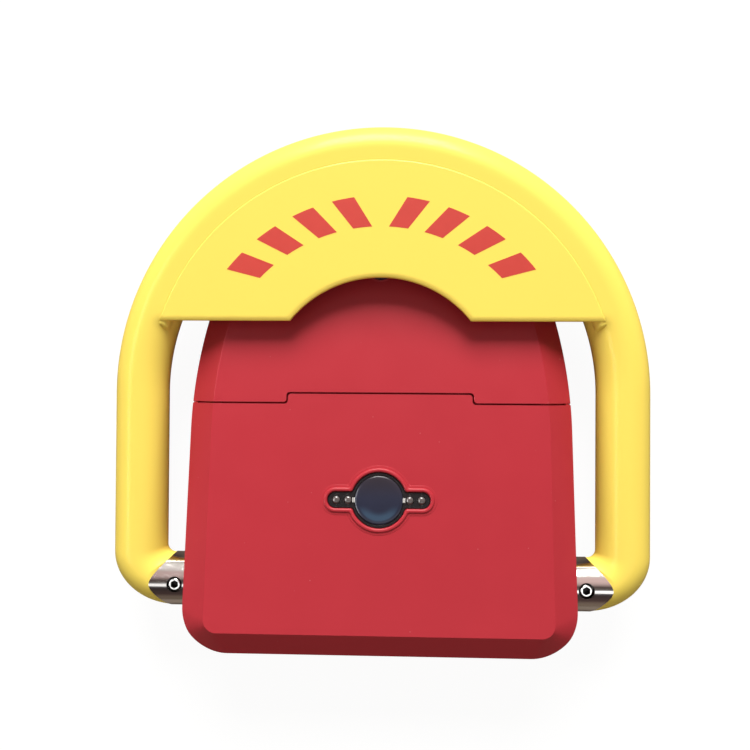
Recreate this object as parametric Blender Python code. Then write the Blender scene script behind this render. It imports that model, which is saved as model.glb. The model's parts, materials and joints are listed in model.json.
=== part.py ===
"""Folding parking lock: a U-shaped barrier arm on a motor-driven shaft in a wedge-shaped housing.

The origin is on the ground, under the middle of the arm's pivot axis. +X runs along that axis,
+Y points to the crest of the lowered arm and +Z is up. All sizes are metres.
"""

from math import acos, asin, atan, atan2, cos, pi, sin, sqrt, tan

import bmesh
import bpy
from mathutils import Matrix, Vector

# Clearances
SEAT = 0.0003            # between pieces that rest on, or fit in, each other
RUN = 0.0003             # between a turning piece and what carries it
SLEEVE_CLEAR = 0.001     # between a pivot sleeve and the slot in the cover
SENSOR_CLEAR = 0.0006    # between the magnet ring and its sensor
ROOF_CLEAR = 0.002       # under the roof, over the gear and the cells
BAY_CLEAR = 0.0008       # between the lid's hooks and the battery tray
LOCK_CLEAR = 0.0022      # between the battery tray and the lock's nut
CREST_CLEAR = 0.0028     # between the arm's crest and the housing's rear corners

# Arm
AXIS_Z = 0.047           # height of the pivot axis
LEG_OUT = 0.0425         # leg centre line from the housing's side
TUBE_R = 0.0222
TUBE_WALL = 0.0045
ELBOW_OUTER_R = 0.0465
ELBOW_INNER_R = 0.006
SIGN_T = 0.004
SIGN_DROP = 0.0010       # top of the sign plate under the top of the tube
SIGN_INNER_R = 0.0975
SIGN_EDGE_RISE = 0.0608  # straight lower edge of the sign plate, from the ends of the crest

# Pivot sleeves and their clamp screws
SLEEVE_R = 0.0225
SLEEVE_OUT = 0.0285      # crest of the coped end, from the housing's side
SADDLE_R = 0.0235        # radius of the coped end
CLAMP_OUT = 0.0067       # from the housing's side
CLAMP_HEAD_R = 0.005
CLAMP_HEAD_H = 0.006
CLAMP_SHANK_R = 0.003
CLAMP_LENGTH = 0.011
CLAMP_SINK_R = 0.006
CLAMP_SINK_H = 0.007

# Shaft, bearings and gears
SHAFT_R = 0.0125
SHAFT_OUT = 0.0147       # from the housing's side
BLOCK_INSET = 0.0253     # from the housing's side
BLOCK_W = 0.020
BLOCK_FOOT_Y = 0.036
BLOCK_FOOT_T = 0.010
BLOCK_OVER_SLEEVE = 0.0025
BUSH_WALL = 0.0032
BUSH_OVERHANG = 0.0074
BUSH_FLANGE_R = 0.019
BUSH_FLANGE_T = 0.003
GEAR_MODULE = 0.002
GEAR_TEETH = 28
PINION_TEETH = 14
GEAR_ADDENDUM = 0.8      # tooth height over the pitch circle, in modules
GEAR_DEDENDUM = 1.0      # tooth depth under the pitch circle, in modules
PRESSURE_ANGLE = 0.349
TOOTH_SLACK = 0.0004     # taken off each tooth's thickness at the pitch circle
GEAR_X = 0.034
GEAR_W = 0.012
HUB_R = 0.020
HUB_W = 0.010
KEY_W = 0.008
KEY_IN_SHAFT = 0.004
KEY_IN_HUB = 0.003
RING_X = -0.065
RING_R = 0.020
RING_W = 0.010
SENSOR_FOOT_L = 0.020
SENSOR_FOOT_T = 0.003
SENSOR_T = 0.005
SENSOR_RISE = 0.005      # top of the sensor over the pivot axis

# Motor
MOTOR_BRACKET_T = 0.004
BRACKET_FOOT_X = 0.030
BRACKET_TOP = 0.017      # bracket height over the pivot axis
BRACKET_HALF_Y = 0.021
BRACKET_SCREW_OUT = 0.75     # place of the foot screws, as a share of the foot's length
BRACKET_SCREW_APART = 0.6    # and as a share of the bracket's half width
GEARHEAD_R = 0.021
GEARHEAD_L = 0.046
GEARHEAD_BOSS_R = 0.010
GEARHEAD_BOSS_L = 0.0068
GEARHEAD_NUT_R = 0.014
MOTOR_R = 0.0185
MOTOR_L = 0.058
MOTOR_CAP_R = 0.010
MOTOR_CAP_L = 0.006
MOTOR_SHAFT_R = 0.004
MOTOR_SHAFT_IN = 0.026
PINION_GAP = 0.003       # from the bracket's nut to the pinion

# Housing
BODY_HALF_W = 0.1653
BODY_FRONT_Y = -0.0560
BODY_DRAFT = 0.0015
SIDE_STRAIGHT_L = 0.186  # straight part of each side, from the front
SIDE_CURVE_R = 0.400
FRONT_CORNER_R = 0.046
REAR_CORNER_R = 0.060
WALL = 0.0035
CHAMFER_W = 0.021
CHAMFER_DROP = 0.012
EDGE_OVER_SLEEVE = 0.0015
ROOF_ANGLE = 0.1391
SEAM_Y = 0.1534
SEAM_GAP = 0.0012
TONGUE_L = 0.0085
TONGUE_HALF_W = 0.0789
TONGUE_CORNER_R = 0.00275
BASE_T = 0.004
BASE_INSET = 0.001
GASKET_T = 0.0018
ANCHOR_R = 0.0065
ANCHOR_INSET = 0.0603    # from the housing's side
ANCHOR_IN_FRONT = 0.026
ANCHOR_IN_REAR = 0.0385

# Fixing of the front cover
LEDGE_DROP = 0.0075      # top of the ledge under the roof's outside
LEDGE_T = 0.003
LEDGE_ROOT = 0.012
LEDGE_INSET = 0.0273     # from the housing's side
LEDGE_REACH = 0.0306     # from the seam
SEAL_BACK = 0.0105       # from the seam
SEAL_W = 0.006
SEAL_INSET = 0.004       # from the ledge's end
POST_INSET = 0.0533      # from the housing's side
POST_BACK = 0.0226       # from the seam
POST_R = 0.006
COVER_SCREW_R = 0.002
COVER_SCREW_HEAD_R = 0.004
COVER_SCREW_HEAD_H = 0.0019
COVER_SCREW_L = 0.014
TAB_INSET = 0.0753       # from the housing's side
TAB_W = 0.024
TAB_T = 0.004
TAB_H = 0.030
FRONT_SCREW_Z = 0.020
FRONT_SCREW_R = 0.0025
FRONT_SCREW_HEAD_R = 0.0045
FRONT_SCREW_HEAD_H = 0.0022
FRONT_SCREW_L = 0.0085
HOOK_X = 0.060
HOOK_W = 0.020
HOOK_T = 0.003
HOOK_TOE = 0.006

# Foot screws of the bearing blocks and the motor bracket
FOOT_SCREW_R = 0.003
FOOT_SCREW_HEAD_R = 0.005
FOOT_SCREW_HEAD_H = 0.005
HEX_SHARE = 0.5          # width and depth of a screw's hexagon, as shares of its head

# Window in the roof
WINDOW_Y = 0.0736
RIM_RISE = 0.0015
RIM_WIDTH = 0.0040
HOLE_R = 0.0222
HOLE_HALF_W = 0.0066
TRAY_DEPTH = 0.0005
TRAY_FLANGE = 0.004
TRAY_FLANGE_T = 0.002
DISC_RING = 0.0026       # black ring round the disc
DISC_T = 0.0025
LED_R = 0.0032
LED_OUT = 0.0034         # inner lamps from the window's round hole
LED_PITCH = 0.0099
LED_END = 0.0069         # outer lamps from the window's ends
LED_FLANGE = 0.0008
LED_FLANGE_T = 0.0012
LED_DOME = 0.0011
LED_DOME_SHAPE = ((0.8, 0.6), (0.4, 1.0))    # shares of the lamp's radius and the dome's height
LED_BOARD_HALF_W = 0.009
BOARD_T = 0.0016

# Control unit and battery bay
CONTROL_BACK = 0.0384    # from the seam
CONTROL_HALF_X = 0.070
CONTROL_HALF_Y = 0.031
CONTROL_FLOOR_T = 0.003
CONTROL_BOSS_R = 0.004
CONTROL_BOSS_H = 0.007
CONTROL_MARGIN = 0.007
CONTROL_BOARD_INSET = 0.0023
RELAY_HALF = 0.009
RELAY_H = 0.016
RELAY_X = 0.030
CELL_R = 0.0166
CELL_L = 0.0590
CELL_NUB_R = 0.0048
CELL_NUB_L = 0.0025
CELL_SIDE_GAP = 0.0013
CELL_COUNT = 4
BAY_WALL = 0.002
BAY_H = 0.026
BAY_RIB_H = 0.006
CONTACT_T = 0.0008
CONTACT_H = 0.016

# Lid lock
LOCK_INSET = 0.0415      # from the housing's rear
LOCK_PAD_R = 0.013
LOCK_PAD_RISE = 0.001
LOCK_BODY_R = 0.0095
LOCK_FLANGE_R = 0.012
LOCK_FLANGE_T = 0.0025
LOCK_BARREL_R = 0.007
LOCK_BODY_L = 0.0075     # below the pad
LOCK_NUT_R = 0.0125
LOCK_NUT_T = 0.004
KEY_SLOT_L = 0.008
KEY_SLOT_W = 0.0016
KEY_SLOT_H = 0.004
CAM_T = 0.0025
CAM_REACH = 0.018
CAM_HALF_W = 0.006
CAM_TAIL_R = 0.004
STRIKER_T = 0.003
STRIKER_HALF_X = 0.011
STRIKER_OVERLAP = 0.006

# Roundness
ROUND = 24
SMALL_ROUND = 12
SADDLE_SIDES = 48
TUBE_SIDES = 18
ARCH_STEPS = 32
ELBOW_STEPS = 6
CORNER_STEPS = 6
FLANK_STEPS = 2

# Places along X that follow from the sizes above
LEG_X = BODY_HALF_W + LEG_OUT
SLEEVE_TIP_X = BODY_HALF_W + SLEEVE_OUT
SADDLE_X = SLEEVE_TIP_X + sqrt(SADDLE_R ** 2 - SLEEVE_R ** 2)
CLAMP_X = BODY_HALF_W + CLAMP_OUT
SHAFT_END_X = BODY_HALF_W + SHAFT_OUT
BLOCK_X = BODY_HALF_W - BLOCK_INSET
BUSH_END_X = BLOCK_X + BLOCK_W / 2 + BUSH_OVERHANG
ANCHOR_X = BODY_HALF_W - ANCHOR_INSET
LEDGE_HALF_W = BODY_HALF_W - LEDGE_INSET
SEAL_HALF_W = LEDGE_HALF_W - SEAL_INSET
POST_X = BODY_HALF_W - POST_INSET
TAB_X = BODY_HALF_W - TAB_INSET
PINION_X = GEAR_X - SEAT
BRACKET_X = PINION_X - PINION_GAP - MOTOR_BRACKET_T
GEARHEAD_X = BRACKET_X - SEAT
LED_INNER_X = HOLE_R + LED_OUT
LED_OUTER_X = LED_INNER_X + LED_PITCH
HOLE_HALF_L = LED_OUTER_X + LED_END

# Places along Y
GEAR_PITCH_R = GEAR_MODULE * GEAR_TEETH / 2
PINION_PITCH_R = GEAR_MODULE * PINION_TEETH / 2
MOTOR_Y = GEAR_PITCH_R + PINION_PITCH_R
TONGUE_Y = SEAM_Y + TONGUE_L
CONTROL_Y = SEAM_Y - CONTROL_BACK
POST_Y = SEAM_Y + POST_BACK
LEDGE_END_Y = SEAM_Y + LEDGE_REACH
BAY_Y = LEDGE_END_Y + SEAM_GAP + HOOK_T + BAY_CLEAR
CELL_Y = BAY_Y + BAY_WALL + CONTACT_T + 2 * SEAT
CELL_END_Y = CELL_Y + CELL_L + CELL_NUB_L
BAY_END_Y = CELL_END_Y + CONTACT_T + 2 * SEAT + BAY_WALL
LOCK_Y = BAY_END_Y + LOCK_CLEAR + LOCK_NUT_R
BODY_REAR_Y = LOCK_Y + LOCK_INSET
ANCHOR_FRONT_Y = BODY_FRONT_Y + ANCHOR_IN_FRONT
ANCHOR_REAR_Y = BODY_REAR_Y - ANCHOR_IN_REAR
SIDE_STRAIGHT_Y = BODY_FRONT_Y + SIDE_STRAIGHT_L
SIDE_CENTRE_X = BODY_HALF_W - SIDE_CURVE_R
REAR_REACH = SIDE_CURVE_R - REAR_CORNER_R
REAR_CORNER_Y = BODY_REAR_Y - REAR_CORNER_R
REAR_LEAN = asin((REAR_CORNER_Y - SIDE_STRAIGHT_Y) / REAR_REACH)
REAR_CORNER_X = SIDE_CENTRE_X + REAR_REACH * cos(REAR_LEAN)
CREST_ROOM = LEG_X - TUBE_R - CREST_CLEAR - REAR_CORNER_R
ARCH_Y = REAR_CORNER_Y - sqrt(CREST_ROOM ** 2 - REAR_CORNER_X ** 2)

# Heights and radii
DECK_Z = BASE_T + SEAT
COVER_Z = DECK_Z + GASKET_T + SEAT
SIGN_TOP = TUBE_R - SIGN_DROP
BUSH_R = SHAFT_R + RUN + BUSH_WALL
BLOCK_TOP_R = SLEEVE_R + BLOCK_OVER_SLEEVE
DISC_R = HOLE_R - DISC_RING
LEDGE_DEPTH = LEDGE_DROP + LEDGE_T
CLAMP_FLOOR_Z = AXIS_Z + SLEEVE_R - CLAMP_SINK_H
COVER_HOLE_R = COVER_SCREW_R + SEAT
FRONT_HOLE_R = FRONT_SCREW_R + SEAT
FOOT_HOLE_R = FOOT_SCREW_R + SEAT
CELL_Z = DECK_Z + BAY_WALL + SEAT + CELL_R
SLEEVE_ROOF_Z = AXIS_Z + SLEEVE_R + EDGE_OVER_SLEEVE + CHAMFER_DROP
GEAR_TIP_R = GEAR_PITCH_R + GEAR_ADDENDUM * GEAR_MODULE
GEAR_ROOF_Z = AXIS_Z + WALL + (GEAR_TIP_R + ROOF_CLEAR) / cos(ROOF_ANGLE)
CELL_ROOF_Z = CELL_Z + CELL_R + ROOF_CLEAR + WALL + CELL_END_Y * tan(ROOF_ANGLE)
ROOF_Z = max(SLEEVE_ROOF_Z, GEAR_ROOF_Z, CELL_ROOF_Z)

FINISHES = {
    "yellow_coat": ((0.98, 0.74, 0.09), 0.32, 0.0),
    "red_shell": ((0.55, 0.032, 0.045), 0.38, 0.0),
    "bright_steel": ((0.72, 0.70, 0.68), 0.18, 1.0),
    "zinc_steel": ((0.55, 0.56, 0.57), 0.38, 1.0),
    "gear_steel": ((0.32, 0.32, 0.33), 0.35, 1.0),
    "bronze": ((0.50, 0.31, 0.14), 0.40, 1.0),
    "black_rubber": ((0.018, 0.018, 0.018), 0.80, 0.0),
    "black_plastic": ((0.022, 0.022, 0.024), 0.45, 0.0),
    "motor_black": ((0.030, 0.030, 0.032), 0.40, 0.0),
    "dark_window": ((0.030, 0.035, 0.055), 0.12, 0.0),
    "lamp_clear": ((0.80, 0.82, 0.80), 0.15, 0.0),
    "board_green": ((0.03, 0.20, 0.09), 0.45, 0.0),
    "cell_jacket": ((0.10, 0.11, 0.13), 0.35, 0.4),
    "brass": ((0.70, 0.52, 0.22), 0.30, 1.0),
}


def clear_scene():
    """Remove every object that the scene starts with."""
    for item in list(bpy.data.objects):
        bpy.data.objects.remove(item, do_unlink=True)


def finish(name):
    """Return the Principled material of one of the finishes, made once."""
    material = bpy.data.materials.get(name)
    if material is None:
        colour, roughness, metallic = FINISHES[name]
        material = bpy.data.materials.new(name)
        material.use_nodes = True
        shader = material.node_tree.nodes["Principled BSDF"]
        shader.inputs["Base Color"].default_value = (*colour, 1.0)
        shader.inputs["Roughness"].default_value = roughness
        shader.inputs["Metallic"].default_value = metallic
    return material


def loft(name, finish_name, rings, closed=False):
    """Make a solid through rings of equal point counts, capped at both ends or closed on itself."""
    shape = bmesh.new()
    loops = [[shape.verts.new(point) for point in ring] for ring in rings]
    pairs = list(zip(loops, loops[1:]))
    if closed:
        pairs.append((loops[-1], loops[0]))
    else:
        shape.faces.new(loops[0])
        shape.faces.new(loops[-1])
    for low, high in pairs:
        for i in range(len(low)):
            shape.faces.new((low[i - 1], low[i], high[i], high[i - 1]))
    bmesh.ops.recalc_face_normals(shape, faces=shape.faces)
    mesh = bpy.data.meshes.new(name)
    shape.to_mesh(mesh)
    shape.free()
    mesh.materials.append(finish(finish_name))
    item = bpy.data.objects.new(name, mesh)
    bpy.context.collection.objects.link(item)
    return item


def combine(item, tool, operation):
    """Apply a Boolean of the tool to the item, and remove the tool."""
    modifier = item.modifiers.new("combine", "BOOLEAN")
    modifier.operation = operation
    modifier.solver = "EXACT"
    modifier.object = tool
    bpy.context.view_layer.update()
    evaluated = item.evaluated_get(bpy.context.evaluated_depsgraph_get())
    mesh = bpy.data.meshes.new_from_object(evaluated)
    item.modifiers.clear()
    material = item.data.materials[0]
    item.data = mesh
    mesh.materials.clear()
    mesh.materials.append(material)
    mesh.polygons.foreach_set("material_index", [0] * len(mesh.polygons))
    bpy.data.objects.remove(tool, do_unlink=True)


def cut(item, tool):
    """Take the tool's volume out of the item."""
    combine(item, tool, "DIFFERENCE")


def join(item, tool):
    """Add the tool's volume to the item."""
    combine(item, tool, "UNION")


def along(axis, position, a, b):
    """Return the point at a position along an axis, with the other two coordinates in cyclic order."""
    if axis == "X":
        return (position, a, b)
    if axis == "Y":
        return (b, position, a)
    return (a, b, position)


def arc(centre_a, centre_b, radius, start, end, steps):
    """Return the points of an arc, both ends included."""
    turns = [start + (end - start) * i / steps for i in range(steps + 1)]
    return [(centre_a + radius * cos(t), centre_b + radius * sin(t)) for t in turns]


def circle(centre, radius, sides):
    """Return the points of a circle."""
    turns = [2 * pi * i / sides for i in range(sides)]
    return [(centre[0] + radius * cos(t), centre[1] + radius * sin(t)) for t in turns]


def hexagon(centre, half_flats, sides):
    """Return points on a hexagon, as many as a circle of the same sides has."""
    points = []
    for i in range(sides):
        turn = 2 * pi * i / sides
        radius = half_flats / cos((turn % (pi / 3)) - pi / 6)
        points.append((centre[0] + radius * cos(turn), centre[1] + radius * sin(turn)))
    return points


def rounded(corners, steps=CORNER_STEPS):
    """Return an outline through (a, b, radius) corners, with an arc at each rounded one."""
    outline = []
    for i, (a, b, radius) in enumerate(corners):
        here = Vector((a, b))
        if radius == 0:
            outline.append((a, b))
            continue
        before = (Vector(corners[i - 1][:2]) - here).normalized()
        after = (Vector(corners[(i + 1) % len(corners)][:2]) - here).normalized()
        half = acos(max(-1.0, min(1.0, before.dot(after)))) / 2
        centre = here + (before + after).normalized() * radius / sin(half)
        first = here + before * radius / tan(half) - centre
        side = 1 if before.x * after.y - before.y * after.x < 0 else -1
        start = atan2(first.y, first.x)
        outline += arc(centre.x, centre.y, radius, start, start + side * (pi - 2 * half), steps)
    return outline


def keyhole(disc_r, half_length, half_width):
    """Return the outline of a disc with a round-ended slot through its middle."""
    end = half_length - half_width
    meet = asin(half_width / disc_r)
    steps = 2 * CORNER_STEPS
    right = arc(end, 0, half_width, -pi / 2, pi / 2, CORNER_STEPS)
    top = arc(0, 0, disc_r, meet, pi - meet, steps)
    left = arc(-end, 0, half_width, pi / 2, 3 * pi / 2, CORNER_STEPS)
    bottom = arc(0, 0, disc_r, pi + meet, 2 * pi - meet, steps)
    return right + top + left + bottom


def prism(name, finish_name, axis, outline, low, high):
    """Make an outline into a solid between two positions along an axis."""
    rings = [[along(axis, position, a, b) for a, b in outline] for position in (low, high)]
    return loft(name, finish_name, rings)


def turned(name, finish_name, axis, centre, profile, sides=ROUND, bored=False):
    """Make a turned solid from (radius, position) steps along an axis."""
    rings = []
    for radius, position in profile:
        rings.append([along(axis, position, a, b) for a, b in circle(centre, radius, sides)])
    return loft(name, finish_name, rings, bored)


def block(name, finish_name, low, high):
    """Make a box between two corners."""
    outline = [(low[0], low[1]), (high[0], low[1]), (high[0], high[1]), (low[0], high[1])]
    return prism(name, finish_name, "Z", outline, low[2], high[2])


def rod(axis, centre, radius, low, high, sides=ROUND):
    """Make a plain round tool between two positions along an axis."""
    return turned("rod_tool", "zinc_steel", axis, centre, [(radius, low), (radius, high)], sides)


def drill(item, axis, centre, radius, low, high, sides=SMALL_ROUND):
    """Take a round hole out of an item."""
    cut(item, rod(axis, centre, radius, low, high, sides))


def socket_screw(name, finish_name, axis, centre, seat, way, sizes, sides=SMALL_ROUND):
    """Make a socket-head screw whose head rests at the seat, with its head towards way.

    The sizes are the head's radius and height, the shank's radius and the length under the head.
    """
    head_r, head_h, shank_r, length = sizes
    top = seat + way * head_h
    floor = top - way * head_h * HEX_SHARE
    profile = [(shank_r, seat - way * length), (shank_r, seat), (head_r, seat), (head_r, top)]
    rings = []
    for radius, position in profile:
        rings.append([along(axis, position, a, b) for a, b in circle(centre, radius, sides)])
    for position in (top, floor):
        outline = hexagon(centre, head_r * HEX_SHARE, sides)
        rings.append([along(axis, position, a, b) for a, b in outline])
    return loft(name, finish_name, rings)


def hang(items, pivot_name, place):
    """Parent pieces to an empty on their joint's axis, with their meshes kept in place."""
    pivot = bpy.data.objects.new(pivot_name, None)
    pivot.location = place
    bpy.context.collection.objects.link(pivot)
    for item in items:
        item.data.transform(Matrix.Translation(-Vector(place)))
        item.parent = pivot


def roof(y):
    """Return the height of the roof's flat outside at a place along the housing."""
    return ROOF_Z - y * tan(ROOF_ANGLE)


def body_outline(inset):
    """Return the housing's plan, drawn in by an inset, with the same points at every inset."""
    corner = arc(BODY_HALF_W - FRONT_CORNER_R, BODY_FRONT_Y + FRONT_CORNER_R, FRONT_CORNER_R - inset,
                 -pi / 2, 0, CORNER_STEPS)
    side = arc(SIDE_CENTRE_X, SIDE_STRAIGHT_Y, SIDE_CURVE_R - inset, 0, REAR_LEAN, CORNER_STEPS)
    rear = arc(REAR_CORNER_X, REAR_CORNER_Y, REAR_CORNER_R - inset, REAR_LEAN, pi / 2, CORNER_STEPS)
    right = corner + side + rear[1:]
    return right + [(-x, y) for x, y in reversed(right)]


def housing_shell(name):
    """Make the whole red shell: walls, a chamfer all round and a sloping roof, open below."""
    lean = atan(CHAMFER_DROP / CHAMFER_W)
    edge_depth = CHAMFER_DROP * (1 - WALL / CHAMFER_W) + WALL / cos(lean)
    roof_inset = BODY_DRAFT + CHAMFER_W
    inner_roof_inset = roof_inset + WALL * tan(lean / 2)
    rings = [[(x, y, roof(y) - WALL) for x, y in body_outline(inner_roof_inset)]]
    rings.append([(x, y, roof(y) - edge_depth) for x, y in body_outline(BODY_DRAFT + WALL)])
    rings.append([(x, y, COVER_Z) for x, y in body_outline(WALL)])
    rings.append([(x, y, COVER_Z) for x, y in body_outline(0)])
    rings.append([(x, y, roof(y) - CHAMFER_DROP) for x, y in body_outline(BODY_DRAFT)])
    rings.append([(x, y, roof(y)) for x, y in body_outline(roof_inset)])
    return loft(name, "red_shell", rings)


def seam_block(offset):
    """Make the space behind the seam, with the notch for the tongue, as a tool."""
    far = BODY_REAR_Y + WALL
    out = BODY_HALF_W + WALL
    half = TONGUE_HALF_W + offset
    seam = SEAM_Y + offset
    tongue = TONGUE_Y + offset
    corners = [(-out, seam, 0), (-half, seam, TONGUE_CORNER_R), (-half, tongue, TONGUE_CORNER_R),
               (half, tongue, TONGUE_CORNER_R), (half, seam, TONGUE_CORNER_R),
               (out, seam, 0), (out, far, 0), (-out, far, 0)]
    return prism("seam_tool", "red_shell", "Z", rounded(corners), -ROOF_Z, 2 * ROOF_Z)


def roof_frame():
    """Return the matrix of the window's frame: u along X, v up the roof's slope, w out of the roof."""
    return Matrix.Translation((0, WINDOW_Y, roof(WINDOW_Y))) @ Matrix.Rotation(-ROOF_ANGLE, 4, "X")


def roof_prism(name, finish_name, levels):
    """Make a solid through (outline, height) levels in the window's frame."""
    frame = roof_frame()
    rings = [[frame @ Vector((u, v, height)) for u, v in outline] for outline, height in levels]
    return loft(name, finish_name, rings)


def sheared(name, finish_name, x_low, x_high, corners):
    """Make a bar along X from (y, depth) corners, with depths measured down from the roof."""
    outline = [(y, roof(y) - depth) for y, depth in corners]
    return prism(name, finish_name, "X", outline, x_low, x_high)


def ledge(x_low, x_high, seam):
    """Make one stretch of the ledge that carries the lid's front edge."""
    root = seam - SEAM_GAP / 2 - WALL / 2
    front = root - LEDGE_ROOT
    corners = [(front, WALL / 2), (front, LEDGE_DEPTH), (LEDGE_END_Y, LEDGE_DEPTH),
               (LEDGE_END_Y, LEDGE_DROP), (root, LEDGE_DROP), (root, WALL / 2)]
    return sheared("ledge_tool", "red_shell", x_low, x_high, corners)


def cover_screw_seat():
    """Return the height of the cover screws' heads on the sloping ledge."""
    return roof(POST_Y - COVER_SCREW_HEAD_R) - LEDGE_DROP + SEAT


def front_screw_seat():
    """Return the place along Y of the front screws' heads, clear of the drafted front wall."""
    return BODY_FRONT_Y - SEAT


def tab_front_y():
    """Return the front of the base plate's upright tabs, behind the drafted front wall."""
    return BODY_FRONT_Y + BODY_DRAFT + WALL + SEAT


def make_base():
    """Make the base plate with its posts, tabs and holes, and the gasket on it."""
    outer = body_outline(BASE_INSET)
    plate = prism("base_plate", "zinc_steel", "Z", outer, 0, BASE_T)
    post_top = roof(POST_Y + POST_R) - LEDGE_DEPTH - SEAT
    post_hole = cover_screw_seat() - COVER_SCREW_L - SEAT
    tab_y = tab_front_y()
    for side in (-1, 1):
        post = (side * POST_X, POST_Y)
        join(plate, rod("Z", post, POST_R, BASE_T / 2, post_top))
        drill(plate, "Z", post, COVER_HOLE_R, post_hole, post_top + POST_R)
        tab_x = side * TAB_X
        join(plate, block("tab_tool", "zinc_steel", (tab_x - TAB_W / 2, tab_y, BASE_T / 2),
                          (tab_x + TAB_W / 2, tab_y + TAB_T, BASE_T + TAB_H)))
        drill(plate, "Y", (FRONT_SCREW_Z, tab_x), FRONT_HOLE_R, tab_y - TAB_T, tab_y + 2 * TAB_T)
        for y in (ANCHOR_FRONT_Y, ANCHOR_REAR_Y):
            drill(plate, "Z", (side * ANCHOR_X, y), ANCHOR_R, -BASE_T, 2 * BASE_T, ROUND)
    for place in block_screw_places() + bracket_screw_places():
        drill(plate, "Z", place, FOOT_HOLE_R, -BASE_T, 2 * BASE_T)
    inner = body_outline(WALL)
    high = DECK_Z + GASKET_T
    levels = ((outer, DECK_Z), (outer, high), (inner, high), (inner, DECK_Z))
    rings = [[(x, y, z) for x, y in outline] for outline, z in levels]
    loft("base_gasket", "black_rubber", rings, closed=True)


def make_front_cover():
    """Make the main cover: the shell in front of the seam, its ledge, window rim and side slots."""
    cover = housing_shell("front_cover")
    cut(cover, seam_block(-SEAM_GAP / 2))
    overlap = WALL
    join(cover, ledge(-LEDGE_HALF_W, -TONGUE_HALF_W + overlap, SEAM_Y))
    join(cover, ledge(TONGUE_HALF_W - overlap, LEDGE_HALF_W, SEAM_Y))
    tongue_half = TONGUE_HALF_W - SEAM_GAP / 2 - overlap / 2
    join(cover, ledge(-tongue_half, tongue_half, TONGUE_Y))
    rim = keyhole(HOLE_R + RIM_WIDTH, HOLE_HALF_L + RIM_WIDTH, HOLE_HALF_W + RIM_WIDTH)
    join(cover, roof_prism("rim_tool", "red_shell", [(rim, -WALL / 2), (rim, RIM_RISE)]))
    hole = keyhole(HOLE_R, HOLE_HALF_L, HOLE_HALF_W)
    cut(cover, roof_prism("hole_tool", "red_shell", [(hole, -2 * WALL), (hole, 2 * RIM_RISE)]))
    slot_r = SLEEVE_R + SLEEVE_CLEAR
    slot_half = SHAFT_R + SLEEVE_CLEAR
    low = asin(slot_half / slot_r) - pi / 2
    far = BODY_HALF_W + WALL
    slot = [(slot_half, 0)] + arc(0, AXIS_Z, slot_r, low, pi - low, ROUND) + [(-slot_half, 0)]
    ledge_z = roof(POST_Y) - LEDGE_DEPTH
    for side, name in ((-1, "left"), (1, "right")):
        cut(cover, prism("slot_tool", "red_shell", "X", slot, side * (far - 4 * WALL), side * far))
        post = (side * POST_X, POST_Y)
        drill(cover, "Z", post, COVER_HOLE_R, ledge_z - LEDGE_DEPTH, ledge_z + LEDGE_DEPTH)
        tab = (FRONT_SCREW_Z, side * TAB_X)
        drill(cover, "Y", tab, FRONT_HOLE_R, BODY_FRONT_Y - WALL, BODY_FRONT_Y + 2 * WALL)
        socket_screw(f"cover_screw_{name}", "zinc_steel", "Z", post, cover_screw_seat(), 1,
                     (COVER_SCREW_HEAD_R, COVER_SCREW_HEAD_H, COVER_SCREW_R, COVER_SCREW_L))
        socket_screw(f"front_screw_{name}", "zinc_steel", "Y", tab, front_screw_seat(), -1,
                     (FRONT_SCREW_HEAD_R, FRONT_SCREW_HEAD_H, FRONT_SCREW_R, FRONT_SCREW_L))
    front = SEAM_Y + SEAL_BACK
    back = front + SEAL_W
    high = WALL + SEAT
    low = LEDGE_DROP - SEAT
    corners = [(front, high), (front, low), (back, low), (back, high)]
    sheared("lid_seal", "black_rubber", -SEAL_HALF_W, SEAL_HALF_W, corners)


def lock_pad_levels():
    """Return the heights of the lock pad's flat underside and top."""
    top = roof(LOCK_Y - LOCK_PAD_R) + LOCK_PAD_RISE
    low = roof(LOCK_Y + LOCK_PAD_R) - WALL - LOCK_PAD_RISE
    return low, top


def make_lid():
    """Make the battery lid: the shell behind the seam, its front hooks and the pad for its lock."""
    lid = housing_shell("battery_lid")
    combine(lid, seam_block(SEAM_GAP / 2), "INTERSECT")
    back = LEDGE_END_Y + SEAM_GAP
    toe = back - HOOK_TOE
    catch = LEDGE_DEPTH + SEAT
    corners = [(back, WALL / 2), (back, catch), (toe, catch), (toe, catch + HOOK_T),
               (back + HOOK_T, catch + HOOK_T), (back + HOOK_T, WALL / 2)]
    for side in (-1, 1):
        low = side * HOOK_X - HOOK_W / 2
        join(lid, sheared("hook_tool", "red_shell", low, low + HOOK_W, corners))
    pad_low, pad_top = lock_pad_levels()
    place = (0, LOCK_Y)
    join(lid, rod("Z", place, LOCK_PAD_R, pad_low, pad_top))
    drill(lid, "Z", place, LOCK_BODY_R + SEAT, pad_low - WALL, pad_top + WALL, ROUND)


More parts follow.
